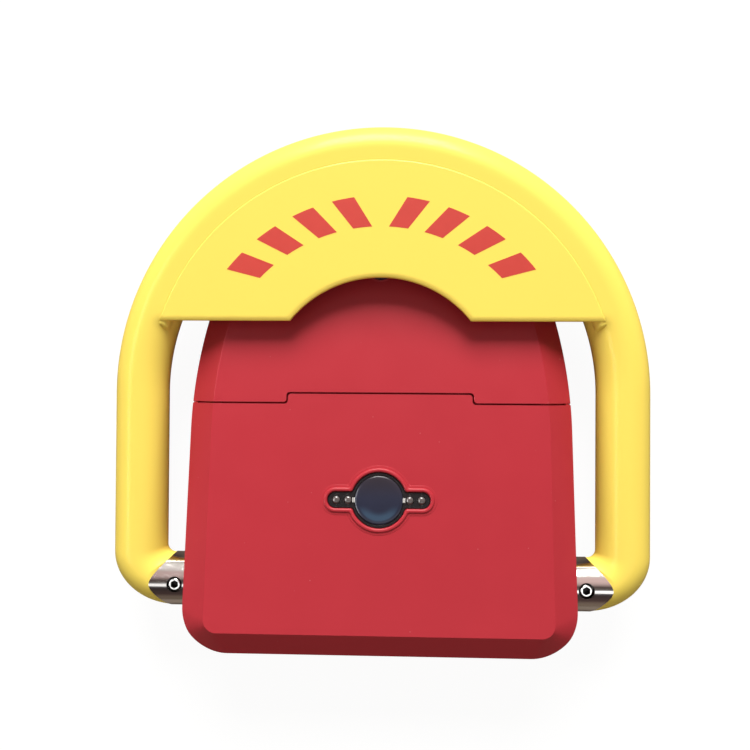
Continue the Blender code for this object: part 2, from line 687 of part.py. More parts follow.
def make_lock():
    """Make the key lock of the lid: its body, nut and striker, and the barrel and cam that turn."""
    pad_low, pad_top = lock_pad_levels()
    place = (0, LOCK_Y)
    seat = pad_top + SEAT
    top = seat + LOCK_FLANGE_T
    low = pad_low - LOCK_BODY_L
    bore = LOCK_BARREL_R + RUN
    turned("lock_body", "bright_steel", "Z", place,
           [(bore, low), (LOCK_BODY_R, low), (LOCK_BODY_R, seat), (LOCK_FLANGE_R, seat),
            (LOCK_FLANGE_R, top), (bore, top)], bored=True)
    nut_top = pad_low - SEAT
    nut_low = nut_top - LOCK_NUT_T
    nut_bore = LOCK_BODY_R + SEAT
    turned("lock_nut", "zinc_steel", "Z", place,
           [(nut_bore, nut_low), (LOCK_NUT_R, nut_low), (LOCK_NUT_R, nut_top), (nut_bore, nut_top)],
           bored=True)
    step = low - RUN
    cam_top = step - SEAT
    cam_low = cam_top - CAM_T
    barrel = turned("lock_barrel", "bright_steel", "Z", place,
                    [(CAM_TAIL_R, cam_low), (CAM_TAIL_R, step), (LOCK_BARREL_R, step),
                     (LOCK_BARREL_R, top)])
    cut(barrel, block("key_tool", "bright_steel",
                      (-KEY_SLOT_W / 2, LOCK_Y - KEY_SLOT_L / 2, top - KEY_SLOT_H),
                      (KEY_SLOT_W / 2, LOCK_Y + KEY_SLOT_L / 2, top + KEY_SLOT_H)))
    outline = arc(0, LOCK_Y, LOCK_BARREL_R, pi, 2 * pi, CORNER_STEPS)
    outline += arc(0, LOCK_Y + CAM_REACH - CAM_HALF_W, CAM_HALF_W, 0, pi, CORNER_STEPS)
    cam = prism("lock_cam", "zinc_steel", "Z", outline, cam_low, cam_top)
    drill(cam, "Z", place, CAM_TAIL_R + SEAT, cam_low - CAM_T, cam_top + CAM_T, ROUND)
    hang([barrel, cam], "lock_pivot", (0, LOCK_Y, cam_top))
    face = LOCK_Y + CAM_REACH + 2 * RUN
    lip = face - STRIKER_OVERLAP
    tongue = step
    outline = [(LOCK_Y, DECK_Z), (face + STRIKER_T, DECK_Z), (face + STRIKER_T, tongue + STRIKER_T),
               (lip, tongue + STRIKER_T), (lip, tongue), (face, tongue), (face, DECK_Z + STRIKER_T),
               (LOCK_Y, DECK_Z + STRIKER_T)]
    prism("lock_striker", "zinc_steel", "X", outline, -STRIKER_HALF_X, STRIKER_HALF_X)


def block_screw_places():
    """Return the places of the bearing blocks' foot screws."""
    y = (BLOCK_FOOT_Y + BLOCK_TOP_R) / 2
    return [(x, side * y) for x in (-BLOCK_X, BLOCK_X) for side in (-1, 1)]


def make_bearings():
    """Make the two bearing blocks, their bushes and their foot screws."""
    foot_top = DECK_Z + BLOCK_FOOT_T
    outline = [(-BLOCK_FOOT_Y, DECK_Z), (BLOCK_FOOT_Y, DECK_Z), (BLOCK_FOOT_Y, foot_top),
               (BLOCK_TOP_R, foot_top)]
    outline += arc(0, AXIS_Z, BLOCK_TOP_R, 0, pi, ROUND // 2)
    outline += [(-BLOCK_TOP_R, foot_top), (-BLOCK_FOOT_Y, foot_top)]
    axis = (0, AXIS_Z)
    run = SHAFT_R + RUN
    places = block_screw_places()
    for side, name in ((-1, "left"), (1, "right")):
        inner = side * (BLOCK_X - BLOCK_W / 2)
        outer = side * (BLOCK_X + BLOCK_W / 2)
        bearing = prism(f"bearing_block_{name}", "zinc_steel", "X", outline, inner, outer)
        drill(bearing, "X", axis, BUSH_R + SEAT, inner - side * BLOCK_W, outer + side * BLOCK_W, ROUND)
        for place in places:
            if place[0] * side > 0:
                drill(bearing, "Z", place, FOOT_HOLE_R, 0, 2 * foot_top)
        flange = inner - side * SEAT
        flange_end = flange - side * BUSH_FLANGE_T
        turned(f"bearing_bush_{name}", "bronze", "X", axis,
               [(run, flange_end), (BUSH_FLANGE_R, flange_end), (BUSH_FLANGE_R, flange), (BUSH_R, flange),
                (BUSH_R, side * BUSH_END_X), (run, side * BUSH_END_X)], bored=True)
    foot_screws("block_screw", places, foot_top + SEAT)


def foot_screws(name, places, seat):
    """Make screws that go down through a foot into the base plate."""
    sizes = (FOOT_SCREW_HEAD_R, FOOT_SCREW_HEAD_H, FOOT_SCREW_R, seat - BASE_T / 4)
    for number, place in enumerate(places, 1):
        socket_screw(f"{name}_{number}", "zinc_steel", "Z", place, seat, 1, sizes)


def gear_outline(centre, teeth, turn):
    """Return an involute gear's outline, with one tooth's middle at the given turn."""
    pitch_r = GEAR_MODULE * teeth / 2
    base_r = pitch_r * cos(PRESSURE_ANGLE)
    tip_r = pitch_r + GEAR_ADDENDUM * GEAR_MODULE
    root_r = pitch_r - GEAR_DEDENDUM * GEAR_MODULE
    pitch_half = (pi * GEAR_MODULE / 2 - TOOTH_SLACK) / (2 * pitch_r)
    start_r = max(base_r, root_r)
    flank = [(root_r, involute_half(start_r, base_r, pitch_half))] if root_r < base_r else []
    for i in range(FLANK_STEPS + 1):
        radius = start_r + (tip_r - start_r) * i / FLANK_STEPS
        flank.append((radius, involute_half(radius, base_r, pitch_half)))
    outline = []
    for tooth in range(teeth):
        middle = turn + 2 * pi * tooth / teeth
        sides = [(radius, middle - half) for radius, half in flank]
        sides += [(radius, middle + half) for radius, half in reversed(flank)]
        outline += [(centre[0] + radius * cos(t), centre[1] + radius * sin(t)) for radius, t in sides]
    return outline


def involute_half(radius, base_r, pitch_half):
    """Return half the angle that a tooth takes up at a radius."""
    lean = acos(min(1.0, base_r / radius))
    return pitch_half + tan(PRESSURE_ANGLE) - PRESSURE_ANGLE - (tan(lean) - lean)


def make_shaft_train():
    """Make the shaft with its gear, key and magnet ring, and return these pieces."""
    axis = (0, AXIS_Z)
    shaft = turned("main_shaft", "gear_steel", "X", axis, [(SHAFT_R, -SHAFT_END_X), (SHAFT_R, SHAFT_END_X)])
    for x in (-CLAMP_X, CLAMP_X):
        drill(shaft, "Z", (x, 0), CLAMP_SHANK_R + SEAT, CLAMP_FLOOR_Z - CLAMP_LENGTH, AXIS_Z + SLEEVE_R)
    key_low = AXIS_Z + SHAFT_R - KEY_IN_SHAFT
    key_high = AXIS_Z + SHAFT_R + KEY_IN_HUB
    key_half = KEY_W / 2
    gear_end = GEAR_X + GEAR_W
    hub_end = gear_end + HUB_W
    cut(shaft, block("key_tool", "gear_steel", (GEAR_X - SEAT, -key_half - SEAT, key_low - SEAT),
                     (hub_end + SEAT, key_half + SEAT, key_high)))
    gear = prism("drive_gear", "gear_steel", "X", gear_outline(axis, GEAR_TEETH, 0), GEAR_X, gear_end)
    join(gear, rod("X", axis, HUB_R, GEAR_X + GEAR_W / 2, hub_end))
    bore = SHAFT_R + SEAT
    drill(gear, "X", axis, bore, GEAR_X - GEAR_W, hub_end + HUB_W, ROUND)
    cut(gear, block("key_tool", "gear_steel", (GEAR_X - GEAR_W, -key_half - SEAT, AXIS_Z),
                    (hub_end + HUB_W, key_half + SEAT, key_high + SEAT)))
    key = block("gear_key", "zinc_steel", (GEAR_X, -key_half, key_low), (hub_end, key_half, key_high))
    low = RING_X - RING_W / 2
    high = RING_X + RING_W / 2
    ring = turned("magnet_ring", "black_plastic", "X", axis,
                  [(bore, low), (RING_R, low), (RING_R, high), (bore, high)], bored=True)
    face = -RING_R - SENSOR_CLEAR
    back = face - SENSOR_T
    toe = face - SENSOR_FOOT_L
    top = AXIS_Z + SENSOR_RISE
    foot = DECK_Z + SENSOR_FOOT_T
    outline = [(toe, DECK_Z), (face, DECK_Z), (face, top), (back, top), (back, foot), (toe, foot)]
    prism("hall_sensor", "board_green", "X", outline, low, high)
    return [shaft, gear, key, ring]


def bracket_screw_places():
    """Return the places of the motor bracket's foot screws."""
    x = BRACKET_X + BRACKET_FOOT_X * BRACKET_SCREW_OUT
    apart = BRACKET_HALF_Y * BRACKET_SCREW_APART
    return [(x, MOTOR_Y + side * apart) for side in (-1, 1)]


def make_motor():
    """Make the gear motor on its bracket, with the shaft and pinion that turn."""
    axis = (MOTOR_Y, AXIS_Z)
    front = BRACKET_X + MOTOR_BRACKET_T
    toe = BRACKET_X + BRACKET_FOOT_X
    top = AXIS_Z + BRACKET_TOP
    foot_top = DECK_Z + MOTOR_BRACKET_T
    corners = [(BRACKET_X, DECK_Z), (toe, DECK_Z), (toe, foot_top), (front, foot_top), (front, top),
               (BRACKET_X, top)]
    outline = [(z, x) for x, z in corners]
    bracket = prism("motor_bracket", "zinc_steel", "Y", outline,
                    MOTOR_Y - BRACKET_HALF_Y, MOTOR_Y + BRACKET_HALF_Y)
    boss_hole = GEARHEAD_BOSS_R + SEAT
    drill(bracket, "X", axis, boss_hole, BRACKET_X - MOTOR_BRACKET_T, front + MOTOR_BRACKET_T, ROUND)
    for place in bracket_screw_places():
        drill(bracket, "Z", place, FOOT_HOLE_R, 0, 2 * foot_top)
    foot_screws("bracket_screw", bracket_screw_places(), foot_top + SEAT)
    head_end = GEARHEAD_X - GEARHEAD_L
    bore = MOTOR_SHAFT_R + RUN
    boss_end = GEARHEAD_X + GEARHEAD_BOSS_L
    turned("gearhead", "zinc_steel", "X", axis,
           [(GEARHEAD_R, head_end), (GEARHEAD_R, GEARHEAD_X), (GEARHEAD_BOSS_R, GEARHEAD_X),
            (GEARHEAD_BOSS_R, boss_end), (bore, boss_end), (bore, GEARHEAD_X - MOTOR_SHAFT_IN)])
    nut_low = front + SEAT
    turned("gearhead_nut", "zinc_steel", "X", axis,
           [(boss_hole, nut_low), (GEARHEAD_NUT_R, nut_low), (GEARHEAD_NUT_R, boss_end),
            (boss_hole, boss_end)], bored=True)
    can = head_end - SEAT
    can_end = can - MOTOR_L
    turned("motor_can", "motor_black", "X", axis,
           [(MOTOR_R, can), (MOTOR_R, can_end), (MOTOR_CAP_R, can_end),
            (MOTOR_CAP_R, can_end - MOTOR_CAP_L)])
    pinion_end = GEAR_X + GEAR_W + SEAT
    shaft = turned("motor_shaft", "bright_steel", "X", axis,
                   [(MOTOR_SHAFT_R, GEARHEAD_X - MOTOR_SHAFT_IN + RUN), (MOTOR_SHAFT_R, pinion_end)])
    pinion = prism("motor_pinion", "brass", "X", gear_outline(axis, PINION_TEETH, pi / PINION_TEETH),
                   PINION_X, pinion_end)
    drill(pinion, "X", axis, MOTOR_SHAFT_R + SEAT, PINION_X - GEAR_W, pinion_end + GEAR_W, ROUND)
    hang([shaft, pinion], "pinion_pivot", (0, MOTOR_Y, AXIS_Z))


def make_window():
    """Make the insert under the window: tray, disc, four lamps and the board that carries them."""
    flange_top = -WALL - SEAT
    flange_low = flange_top - TRAY_FLANGE_T
    wide = keyhole(HOLE_R + TRAY_FLANGE, HOLE_HALF_L + TRAY_FLANGE, HOLE_HALF_W + TRAY_FLANGE)
    neck = keyhole(HOLE_R - SEAT, HOLE_HALF_L - SEAT, HOLE_HALF_W - SEAT)
    tray = roof_prism("window_tray", "black_plastic",
                      [(wide, flange_low), (wide, flange_top), (neck, flange_top), (neck, -TRAY_DEPTH)])
    pocket = circle((0, 0), DISC_R + SEAT, ROUND)
    pocket_floor = -TRAY_DEPTH - DISC_T
    cut(tray, roof_prism("pocket_tool", "black_plastic", [(pocket, pocket_floor), (pocket, TRAY_DEPTH)]))
    disc = circle((0, 0), DISC_R, ROUND)
    roof_prism("window_disc", "dark_window", [(disc, pocket_floor + SEAT), (disc, 0)])
    base = flange_low - SEAT
    brim = LED_R + LED_FLANGE
    levels = [(brim, base - LED_FLANGE_T), (brim, base), (LED_R, base), (LED_R, -TRAY_DEPTH)]
    levels += [(LED_R * wide_share, LED_DOME * high_share) for wide_share, high_share in LED_DOME_SHAPE]
    places = [-LED_OUTER_X, -LED_INNER_X, LED_INNER_X, LED_OUTER_X]
    for number, x in enumerate(places, 1):
        hole = circle((x, 0), LED_R + SEAT, SMALL_ROUND)
        cut(tray, roof_prism("hole_tool", "black_plastic", [(hole, 2 * flange_low), (hole, TRAY_DEPTH)]))
        rings = [(circle((x, 0), radius, SMALL_ROUND), height) for radius, height in levels]
        roof_prism(f"led_{number}", "lamp_clear", rings)
    long = LED_OUTER_X + 2 * LED_R
    wide = LED_BOARD_HALF_W
    board = [(-long, -wide), (long, -wide), (long, wide), (-long, wide)]
    top = base - LED_FLANGE_T - SEAT
    roof_prism("window_board", "board_green", [(board, top - BOARD_T), (board, top)])


def make_control():
    """Make the control unit: a tray with four bosses, the board on it and a relay."""
    floor = DECK_Z + CONTROL_FLOOR_T
    tray = block("control_tray", "black_plastic", (-CONTROL_HALF_X, CONTROL_Y - CONTROL_HALF_Y, DECK_Z),
                 (CONTROL_HALF_X, CONTROL_Y + CONTROL_HALF_Y, floor))
    boss_x = CONTROL_HALF_X - CONTROL_MARGIN
    boss_y = CONTROL_HALF_Y - CONTROL_MARGIN
    boss_top = floor + CONTROL_BOSS_H
    for x in (-boss_x, boss_x):
        for y in (CONTROL_Y - boss_y, CONTROL_Y + boss_y):
            boss_low = DECK_Z + CONTROL_FLOOR_T / 2
            join(tray, rod("Z", (x, y), CONTROL_BOSS_R, boss_low, boss_top, SMALL_ROUND))
    low = boss_top + SEAT
    half_x = CONTROL_HALF_X - CONTROL_BOARD_INSET
    half_y = CONTROL_HALF_Y - CONTROL_BOARD_INSET
    block("control_board", "board_green", (-half_x, CONTROL_Y - half_y, low),
          (half_x, CONTROL_Y + half_y, low + BOARD_T))
    top = low + BOARD_T + SEAT
    block("relay", "black_plastic", (RELAY_X - RELAY_HALF, CONTROL_Y - RELAY_HALF, top),
          (RELAY_X + RELAY_HALF, CONTROL_Y + RELAY_HALF, top + RELAY_H))


def make_battery_bay():
    """Make the battery tray, its cells side by side and the contact strips at both ends."""
    pitch = 2 * CELL_R + CELL_SIDE_GAP
    half = CELL_COUNT * pitch / 2
    floor = DECK_Z + BAY_WALL
    tray = block("battery_tray", "black_plastic", (-half - BAY_WALL, BAY_Y, DECK_Z),
                 (half + BAY_WALL, BAY_END_Y, floor + BAY_H))
    cut(tray, block("room_tool", "black_plastic", (-half, BAY_Y + BAY_WALL, floor),
                    (half, BAY_END_Y - BAY_WALL, floor + 2 * BAY_H)))
    rib = CELL_SIDE_GAP / 2 - SEAT
    step_back = CELL_END_Y - CELL_NUB_L
    nub_back = [(CELL_R, CELL_Y), (CELL_R, step_back), (CELL_NUB_R, step_back), (CELL_NUB_R, CELL_END_Y)]
    step_front = CELL_Y + CELL_NUB_L
    nub_front = [(CELL_NUB_R, CELL_Y), (CELL_NUB_R, step_front), (CELL_R, step_front), (CELL_R, CELL_END_Y)]
    for number in range(CELL_COUNT):
        edge = number * pitch - half
        profile = nub_back if number % 2 else nub_front
        turned(f"battery_{number + 1}", "cell_jacket", "Y", (CELL_Z, edge + pitch / 2), profile)
        if number:
            join(tray, block("rib_tool", "black_plastic",
                             (edge - rib, BAY_Y + BAY_WALL / 2, floor - BAY_WALL / 2),
                             (edge + rib, BAY_END_Y - BAY_WALL / 2, floor + BAY_RIB_H)))
    reach = half - BAY_WALL
    front = BAY_Y + BAY_WALL + SEAT
    rear = BAY_END_Y - BAY_WALL - SEAT - CONTACT_T
    low = CELL_Z - CONTACT_H / 2
    for name, y in (("contact_front", front), ("contact_rear", rear)):
        block(name, "brass", (-reach, y, low), (reach, y + CONTACT_T, low + CONTACT_H))


def tube_ring(outer, inner, half_height, sides=TUBE_SIDES):
    """Return a ring across the tube between its outer and inner side points in plan."""
    middle = ((outer[0] + inner[0]) / 2, (outer[1] + inner[1]) / 2)
    reach = ((outer[0] - inner[0]) / 2, (outer[1] - inner[1]) / 2)
    points = []
    for i in range(sides):
        turn = 2 * pi * i / sides
        points.append((middle[0] + reach[0] * cos(turn), middle[1] + reach[1] * cos(turn),
                       AXIS_Z + half_height * sin(turn)))
    return points


def arm_rings(radius, arch_steps):
    """Return the rings of one skin of the arm tube, from its left end to its right end."""
    shrink = TUBE_R - radius
    outer_r = ELBOW_OUTER_R - shrink
    inner_r = ELBOW_INNER_R + shrink
    start = SADDLE_X - SADDLE_R - TUBE_WALL
    right = [((start, -radius), (start, radius))]
    for i in range(ELBOW_STEPS + 1):
        turn = pi / 2 * i / ELBOW_STEPS
        way = (sin(turn), -cos(turn))
        outer_c = (LEG_X + radius - outer_r, outer_r - radius)
        inner_c = (LEG_X - radius - inner_r, radius + inner_r)
        right.append(((outer_c[0] + outer_r * way[0], outer_c[1] + outer_r * way[1]),
                      (inner_c[0] + inner_r * way[0], inner_c[1] + inner_r * way[1])))
    crest = []
    for i in range(arch_steps + 1):
        way = (cos(pi * i / arch_steps), sin(pi * i / arch_steps))
        crest.append(((way[0] * (LEG_X + radius), ARCH_Y + way[1] * (LEG_X + radius)),
                      (way[0] * (LEG_X - radius), ARCH_Y + way[1] * (LEG_X - radius))))
    left = [((-a, b), (-c, d)) for (a, b), (c, d) in right]
    return [tube_ring(outer, inner, radius) for outer, inner in right + crest + left[::-1]]


def make_arm():
    """Make the arm: the bent tube, its sign plate, the pivot sleeves and their clamp screws."""
    rings = arm_rings(TUBE_R, ARCH_STEPS) + arm_rings(TUBE_R - TUBE_WALL, ARCH_STEPS // 2)[::-1]
    tube = loft("arm_tube", "yellow_coat", rings, closed=True)
    pieces = [tube, make_sign()]
    axis = (0, AXIS_Z)
    tall = 2 * TUBE_R
    bore = SHAFT_R + SEAT
    for side, name in ((-1, "left"), (1, "right")):
        centre = (AXIS_Z, side * SADDLE_X)
        trim = block("trim_tool", "yellow_coat", (side * SADDLE_X, -tall, AXIS_Z - tall),
                     (side * BLOCK_X, tall, AXIS_Z + tall))
        drill(trim, "Y", centre, SADDLE_R - SEAT, -2 * tall, 2 * tall, SADDLE_SIDES)
        cut(tube, trim)
        inner = side * (BUSH_END_X + RUN)
        outer = side * SADDLE_X
        sleeve = turned(f"pivot_sleeve_{name}", "bright_steel", "X", axis,
                        [(bore, inner), (SLEEVE_R, inner), (SLEEVE_R, outer), (bore, outer)], bored=True)
        drill(sleeve, "Y", centre, SADDLE_R, -tall, tall, SADDLE_SIDES)
        place = (side * CLAMP_X, 0)
        drill(sleeve, "Z", place, CLAMP_SINK_R, CLAMP_FLOOR_Z, AXIS_Z + tall, ROUND)
        drill(sleeve, "Z", place, CLAMP_SHANK_R + SEAT, AXIS_Z, AXIS_Z + tall, ROUND)
        screw = socket_screw(f"clamp_screw_{name}", "zinc_steel", "Z", place, CLAMP_FLOOR_Z + SEAT, 1,
                             (CLAMP_HEAD_R, CLAMP_HEAD_H, CLAMP_SHANK_R, CLAMP_LENGTH), ROUND)
        pieces += [sleeve, screw]
    return pieces


def make_sign():
    """Make the crescent plate whose outer edge meets the inside of the crest."""
    rings = []
    for height in (SIGN_TOP - SIGN_T, SIGN_TOP):
        outer_r = LEG_X - sqrt((TUBE_R + 2 * SEAT) ** 2 - height ** 2)
        lean = asin(SIGN_EDGE_RISE / outer_r)
        inner_lean = asin(SIGN_EDGE_RISE / SIGN_INNER_R)
        outline = arc(0, ARCH_Y, outer_r, lean, pi - lean, ARCH_STEPS)
        outline += arc(0, ARCH_Y, SIGN_INNER_R, pi - inner_lean, inner_lean, ARCH_STEPS // 2)
        rings.append([(x, y, AXIS_Z + height) for x, y in outline])
    return loft("sign_plate", "yellow_coat", rings)


def shade():
    """Shade round faces smooth and keep real edges sharp."""
    for item in bpy.data.objects:
        if item.type == "MESH":
            item.data.shade_smooth()
            item.data.set_sharp_from_angle(angle=pi / 6)


def main():
    """Build every piece of the lock."""
    clear_scene()
    make_base()
    make_front_cover()
    make_lid()
    make_lock()
    make_bearings()
    moving = make_shaft_train()
    make_motor()
    make_window()
    make_control()
    make_battery_bay()
    moving += make_arm()
    hang(moving, "arm_pivot", (0, 0, AXIS_Z))
    shade()


main()
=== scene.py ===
"""Looks of a folding parking lock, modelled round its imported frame.

Sizes are metres and +Z is up. The origin is on the ground, under the middle of the arm's pivot axis.
That axis runs along +X, and the crest of the lowered arm points along +Y.
"""

import json
import logging
from dataclasses import dataclass
from enum import Enum
from math import acos, asin, atan, cos, pi, radians, sin, sqrt, tan
from typing import Any, Callable, Iterable, Optional, Sequence, Union

import bmesh
import bpy
from mathutils import Matrix, Vector


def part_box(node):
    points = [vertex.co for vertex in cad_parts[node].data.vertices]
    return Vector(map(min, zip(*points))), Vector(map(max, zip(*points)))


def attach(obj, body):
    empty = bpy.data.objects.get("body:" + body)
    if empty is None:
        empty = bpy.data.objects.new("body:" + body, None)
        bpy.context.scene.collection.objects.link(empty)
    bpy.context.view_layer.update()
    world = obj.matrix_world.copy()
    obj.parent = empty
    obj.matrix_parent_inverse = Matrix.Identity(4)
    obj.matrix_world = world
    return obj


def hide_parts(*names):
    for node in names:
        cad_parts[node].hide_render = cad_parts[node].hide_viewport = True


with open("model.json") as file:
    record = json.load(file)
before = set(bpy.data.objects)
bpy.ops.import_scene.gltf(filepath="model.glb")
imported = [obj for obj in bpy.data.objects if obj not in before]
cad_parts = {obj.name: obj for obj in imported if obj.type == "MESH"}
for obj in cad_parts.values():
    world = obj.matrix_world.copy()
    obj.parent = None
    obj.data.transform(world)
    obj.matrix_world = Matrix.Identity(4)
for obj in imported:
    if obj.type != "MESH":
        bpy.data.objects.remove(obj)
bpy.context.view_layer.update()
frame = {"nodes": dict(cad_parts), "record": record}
LOG = logging.getLogger("parking_lock")

Piece = bpy.types.Object
Socket = bpy.types.NodeSocket
Point = tuple[float, float, float]
Plan = list[tuple[float, float]]
Ring = Sequence[Sequence[float]]
Colour = tuple[float, float, float]
Term = Union["Number", float]

WHITE = (1.0, 1.0, 1.0, 1.0)
COAT_ROUGHNESS = 0.12
SPECK_SCALE = 170.0
SPECK_PATCH = 0.011
# Painted shade: the near-black colour painted into the sleeves' screw sinks and the screws' hex sockets.
RECESS_SHADE_COLOUR = (0.010, 0.009, 0.009)
RECESS_SHADE_RISE = 0.001
RECESS_SHADE_FALL = 0.0004
RECESS_SHADE_CORE = 0.96
MERGE = 0.00002
SMOOTH_ANGLE = 50
THROUGH = 0.1  # length of a tool that passes right through a piece
CLAMP_X = 0.172  # distance of the clamp screws from the middle
WINDOW_Y = 0.0736  # place of the window along Y


class Side(Enum):
    """The two pivots."""

    LEFT = -1
    RIGHT = 1

    @property
    def label(self) -> str:
        """Name used in node names."""
        return self.name.lower()


class Body(Enum):
    """The frame's moving bodies."""

    HOUSING = "housing"
    ARM = "arm"
    PLUG = "lock_plug"


def sum_method(operation: str, reflected: bool = False) -> Callable[["Number", Term], "Number"]:
    """Return a method of Number that adds one Math node.

    Args:
        operation: The node's operation.
        reflected: True puts the other value first.

    Returns:
        The method.
    """
    def method(self: "Number", other: Term) -> "Number":
        """Return the node's value for this value and another."""
        pair = (other, self) if reflected else (self, other)
        return self.nodes.number("Math", 0, {"operation": operation}, dict(enumerate(pair)))
    return method


class Number:
    """A shader value that takes part in Python sums."""

    def __init__(self, nodes: "Nodes", socket: Socket) -> None:
        """Keep the tree and the socket that gives the value."""
        self.nodes = nodes
        self.socket = socket

    __add__, __radd__ = sum_method("ADD"), sum_method("ADD", True)
    __sub__, __rsub__ = sum_method("SUBTRACT"), sum_method("SUBTRACT", True)
    __mul__, __rmul__ = sum_method("MULTIPLY"), sum_method("MULTIPLY", True)
    __truediv__, __rtruediv__ = sum_method("DIVIDE"), sum_method("DIVIDE", True)
    __pow__, __rpow__ = sum_method("POWER"), sum_method("POWER", True)
    most = sum_method("MAXIMUM")
    angle_from = sum_method("ARCTAN2")

    def band(self, low: float, high: float) -> "Number":
        """Return 0 below low and 1 above high, with a smooth rise between them."""
        return self.nodes.number("MapRange", 0, {"interpolation_type": "SMOOTHSTEP"},
                                 {"Value": self, "From Min": low, "From Max": high})

    def within(self, low: float, rise: float, fall: float, high: float) -> "Number":
        """Return 1 from rise to fall and 0 outside low and high, with smooth edges."""
        return self.band(low, rise) * (1 - self.band(fall, high))


class Nodes:
    """Adds nodes to one shader tree."""

    def __init__(self, tree: bpy.types.NodeTree) -> None:
        """Keep the tree."""
        self.tree = tree

    @classmethod
    def blank(cls, owner: Union[bpy.types.Material, bpy.types.World]) -> "Nodes":
        """Empty the tree of a material or a world and return it."""
        owner.use_nodes = True
        owner.node_tree.nodes.clear()
        return cls(owner.node_tree)

    def node(self, kind: str, settings: Optional[dict[str, Any]] = None,
             sockets: Optional[dict[Any, Any]] = None) -> bpy.types.Node:
        """Add one node.

        Args:
            kind: The node's type, without the first word that all of them have.
            settings: Its properties, set before its sockets; "stops" fills a colour ramp.
            sockets: Values or links, by the socket's name or number.

        Returns:
            The node.
        """
        made = self.tree.nodes.new("ShaderNode" + kind)
        for key, value in (settings or {}).items():
            if key == "stops":
                self._fill_ramp(made.color_ramp, value)
            else:
                setattr(made, key, value)
        for key, value in (sockets or {}).items():
            self.plug(made.inputs[key], value)
        return made

    @staticmethod
    def _fill_ramp(ramp: bpy.types.ColorRamp, stops: Sequence[tuple[float, Colour]]) -> None:
        """Set a ramp's stops, each a place and a colour."""
        while len(ramp.elements) < len(stops):
            ramp.elements.new(1.0)
        for element, (place, colour) in zip(ramp.elements, stops):
            element.position = place
            element.color = (*colour, 1.0)

    def plug(self, socket: Socket, value: Any) -> None:
        """Link or set one input socket."""
        if isinstance(value, Number):
            value = value.socket
        if isinstance(value, Socket):
            self.tree.links.new(value, socket)
        else:
            socket.default_value = value

    def number(self, kind: str, output: Any, settings: Optional[dict[str, Any]] = None,
               sockets: Optional[dict[Any, Any]] = None) -> Number:
        """Add one node and return one of its outputs as a value."""
        return Number(self, self.node(kind, settings, sockets).outputs[output])

    def result(self, kind: str, *inputs: Any) -> Socket:
        """Add one node, with its inputs in order, and return its first output."""
        return self.node(kind, {}, dict(enumerate(inputs))).outputs[0]

    def split(self, vector: Socket) -> list[Number]:
        """Return a vector's three parts."""
        return [Number(self, part) for part in self.node("SeparateXYZ", {}, {0: vector}).outputs]

    def rays(self) -> tuple[Number, Number]:
        """Return what is 1 for rays from the eye, also through glass, and what is 1 for mirrored rays."""
        path = self.node("LightPath")
        eye, through, mirrored = (Number(self, path.outputs[f"Is {kind} Ray"])
                                  for kind in ("Camera", "Transmission", "Glossy"))
        return eye.most(through), mirrored

    def mix(self, share: Term, first: Any, second: Any) -> Socket:
        """Mix two colours.

        Args:
            share: How much of the second colour shows.
            first: A colour or a colour socket.
            second: A colour or a colour socket.

        Returns:
            The mixed colour's socket.
        """
        pair = [(*value, 1.0) if isinstance(value, tuple) else value for value in (first, second)]
        made = self.node("Mix", {"data_type": "RGBA"}, {0: share, 6: pair[0], 7: pair[1]})
        return made.outputs[2]

    def place(self, stretch: Point = (1, 1, 1)) -> Socket:
        """Return object coordinates, stretched."""
        where = self.node("TexCoord").outputs["Object"]
        return self.node("Mapping", {}, {"Vector": where, "Scale": stretch}).outputs[0]

    def noise(self, size: float, detail: float = 2.0, stretch: Point = (1, 1, 1)) -> Number:
        """Return noise between 0 and 1, about 0.5, whose patches are about the size given."""
        return self.number("TexNoise", 0, {},
                           {"Vector": self.place(stretch), "Scale": 1 / size, "Detail": detail})


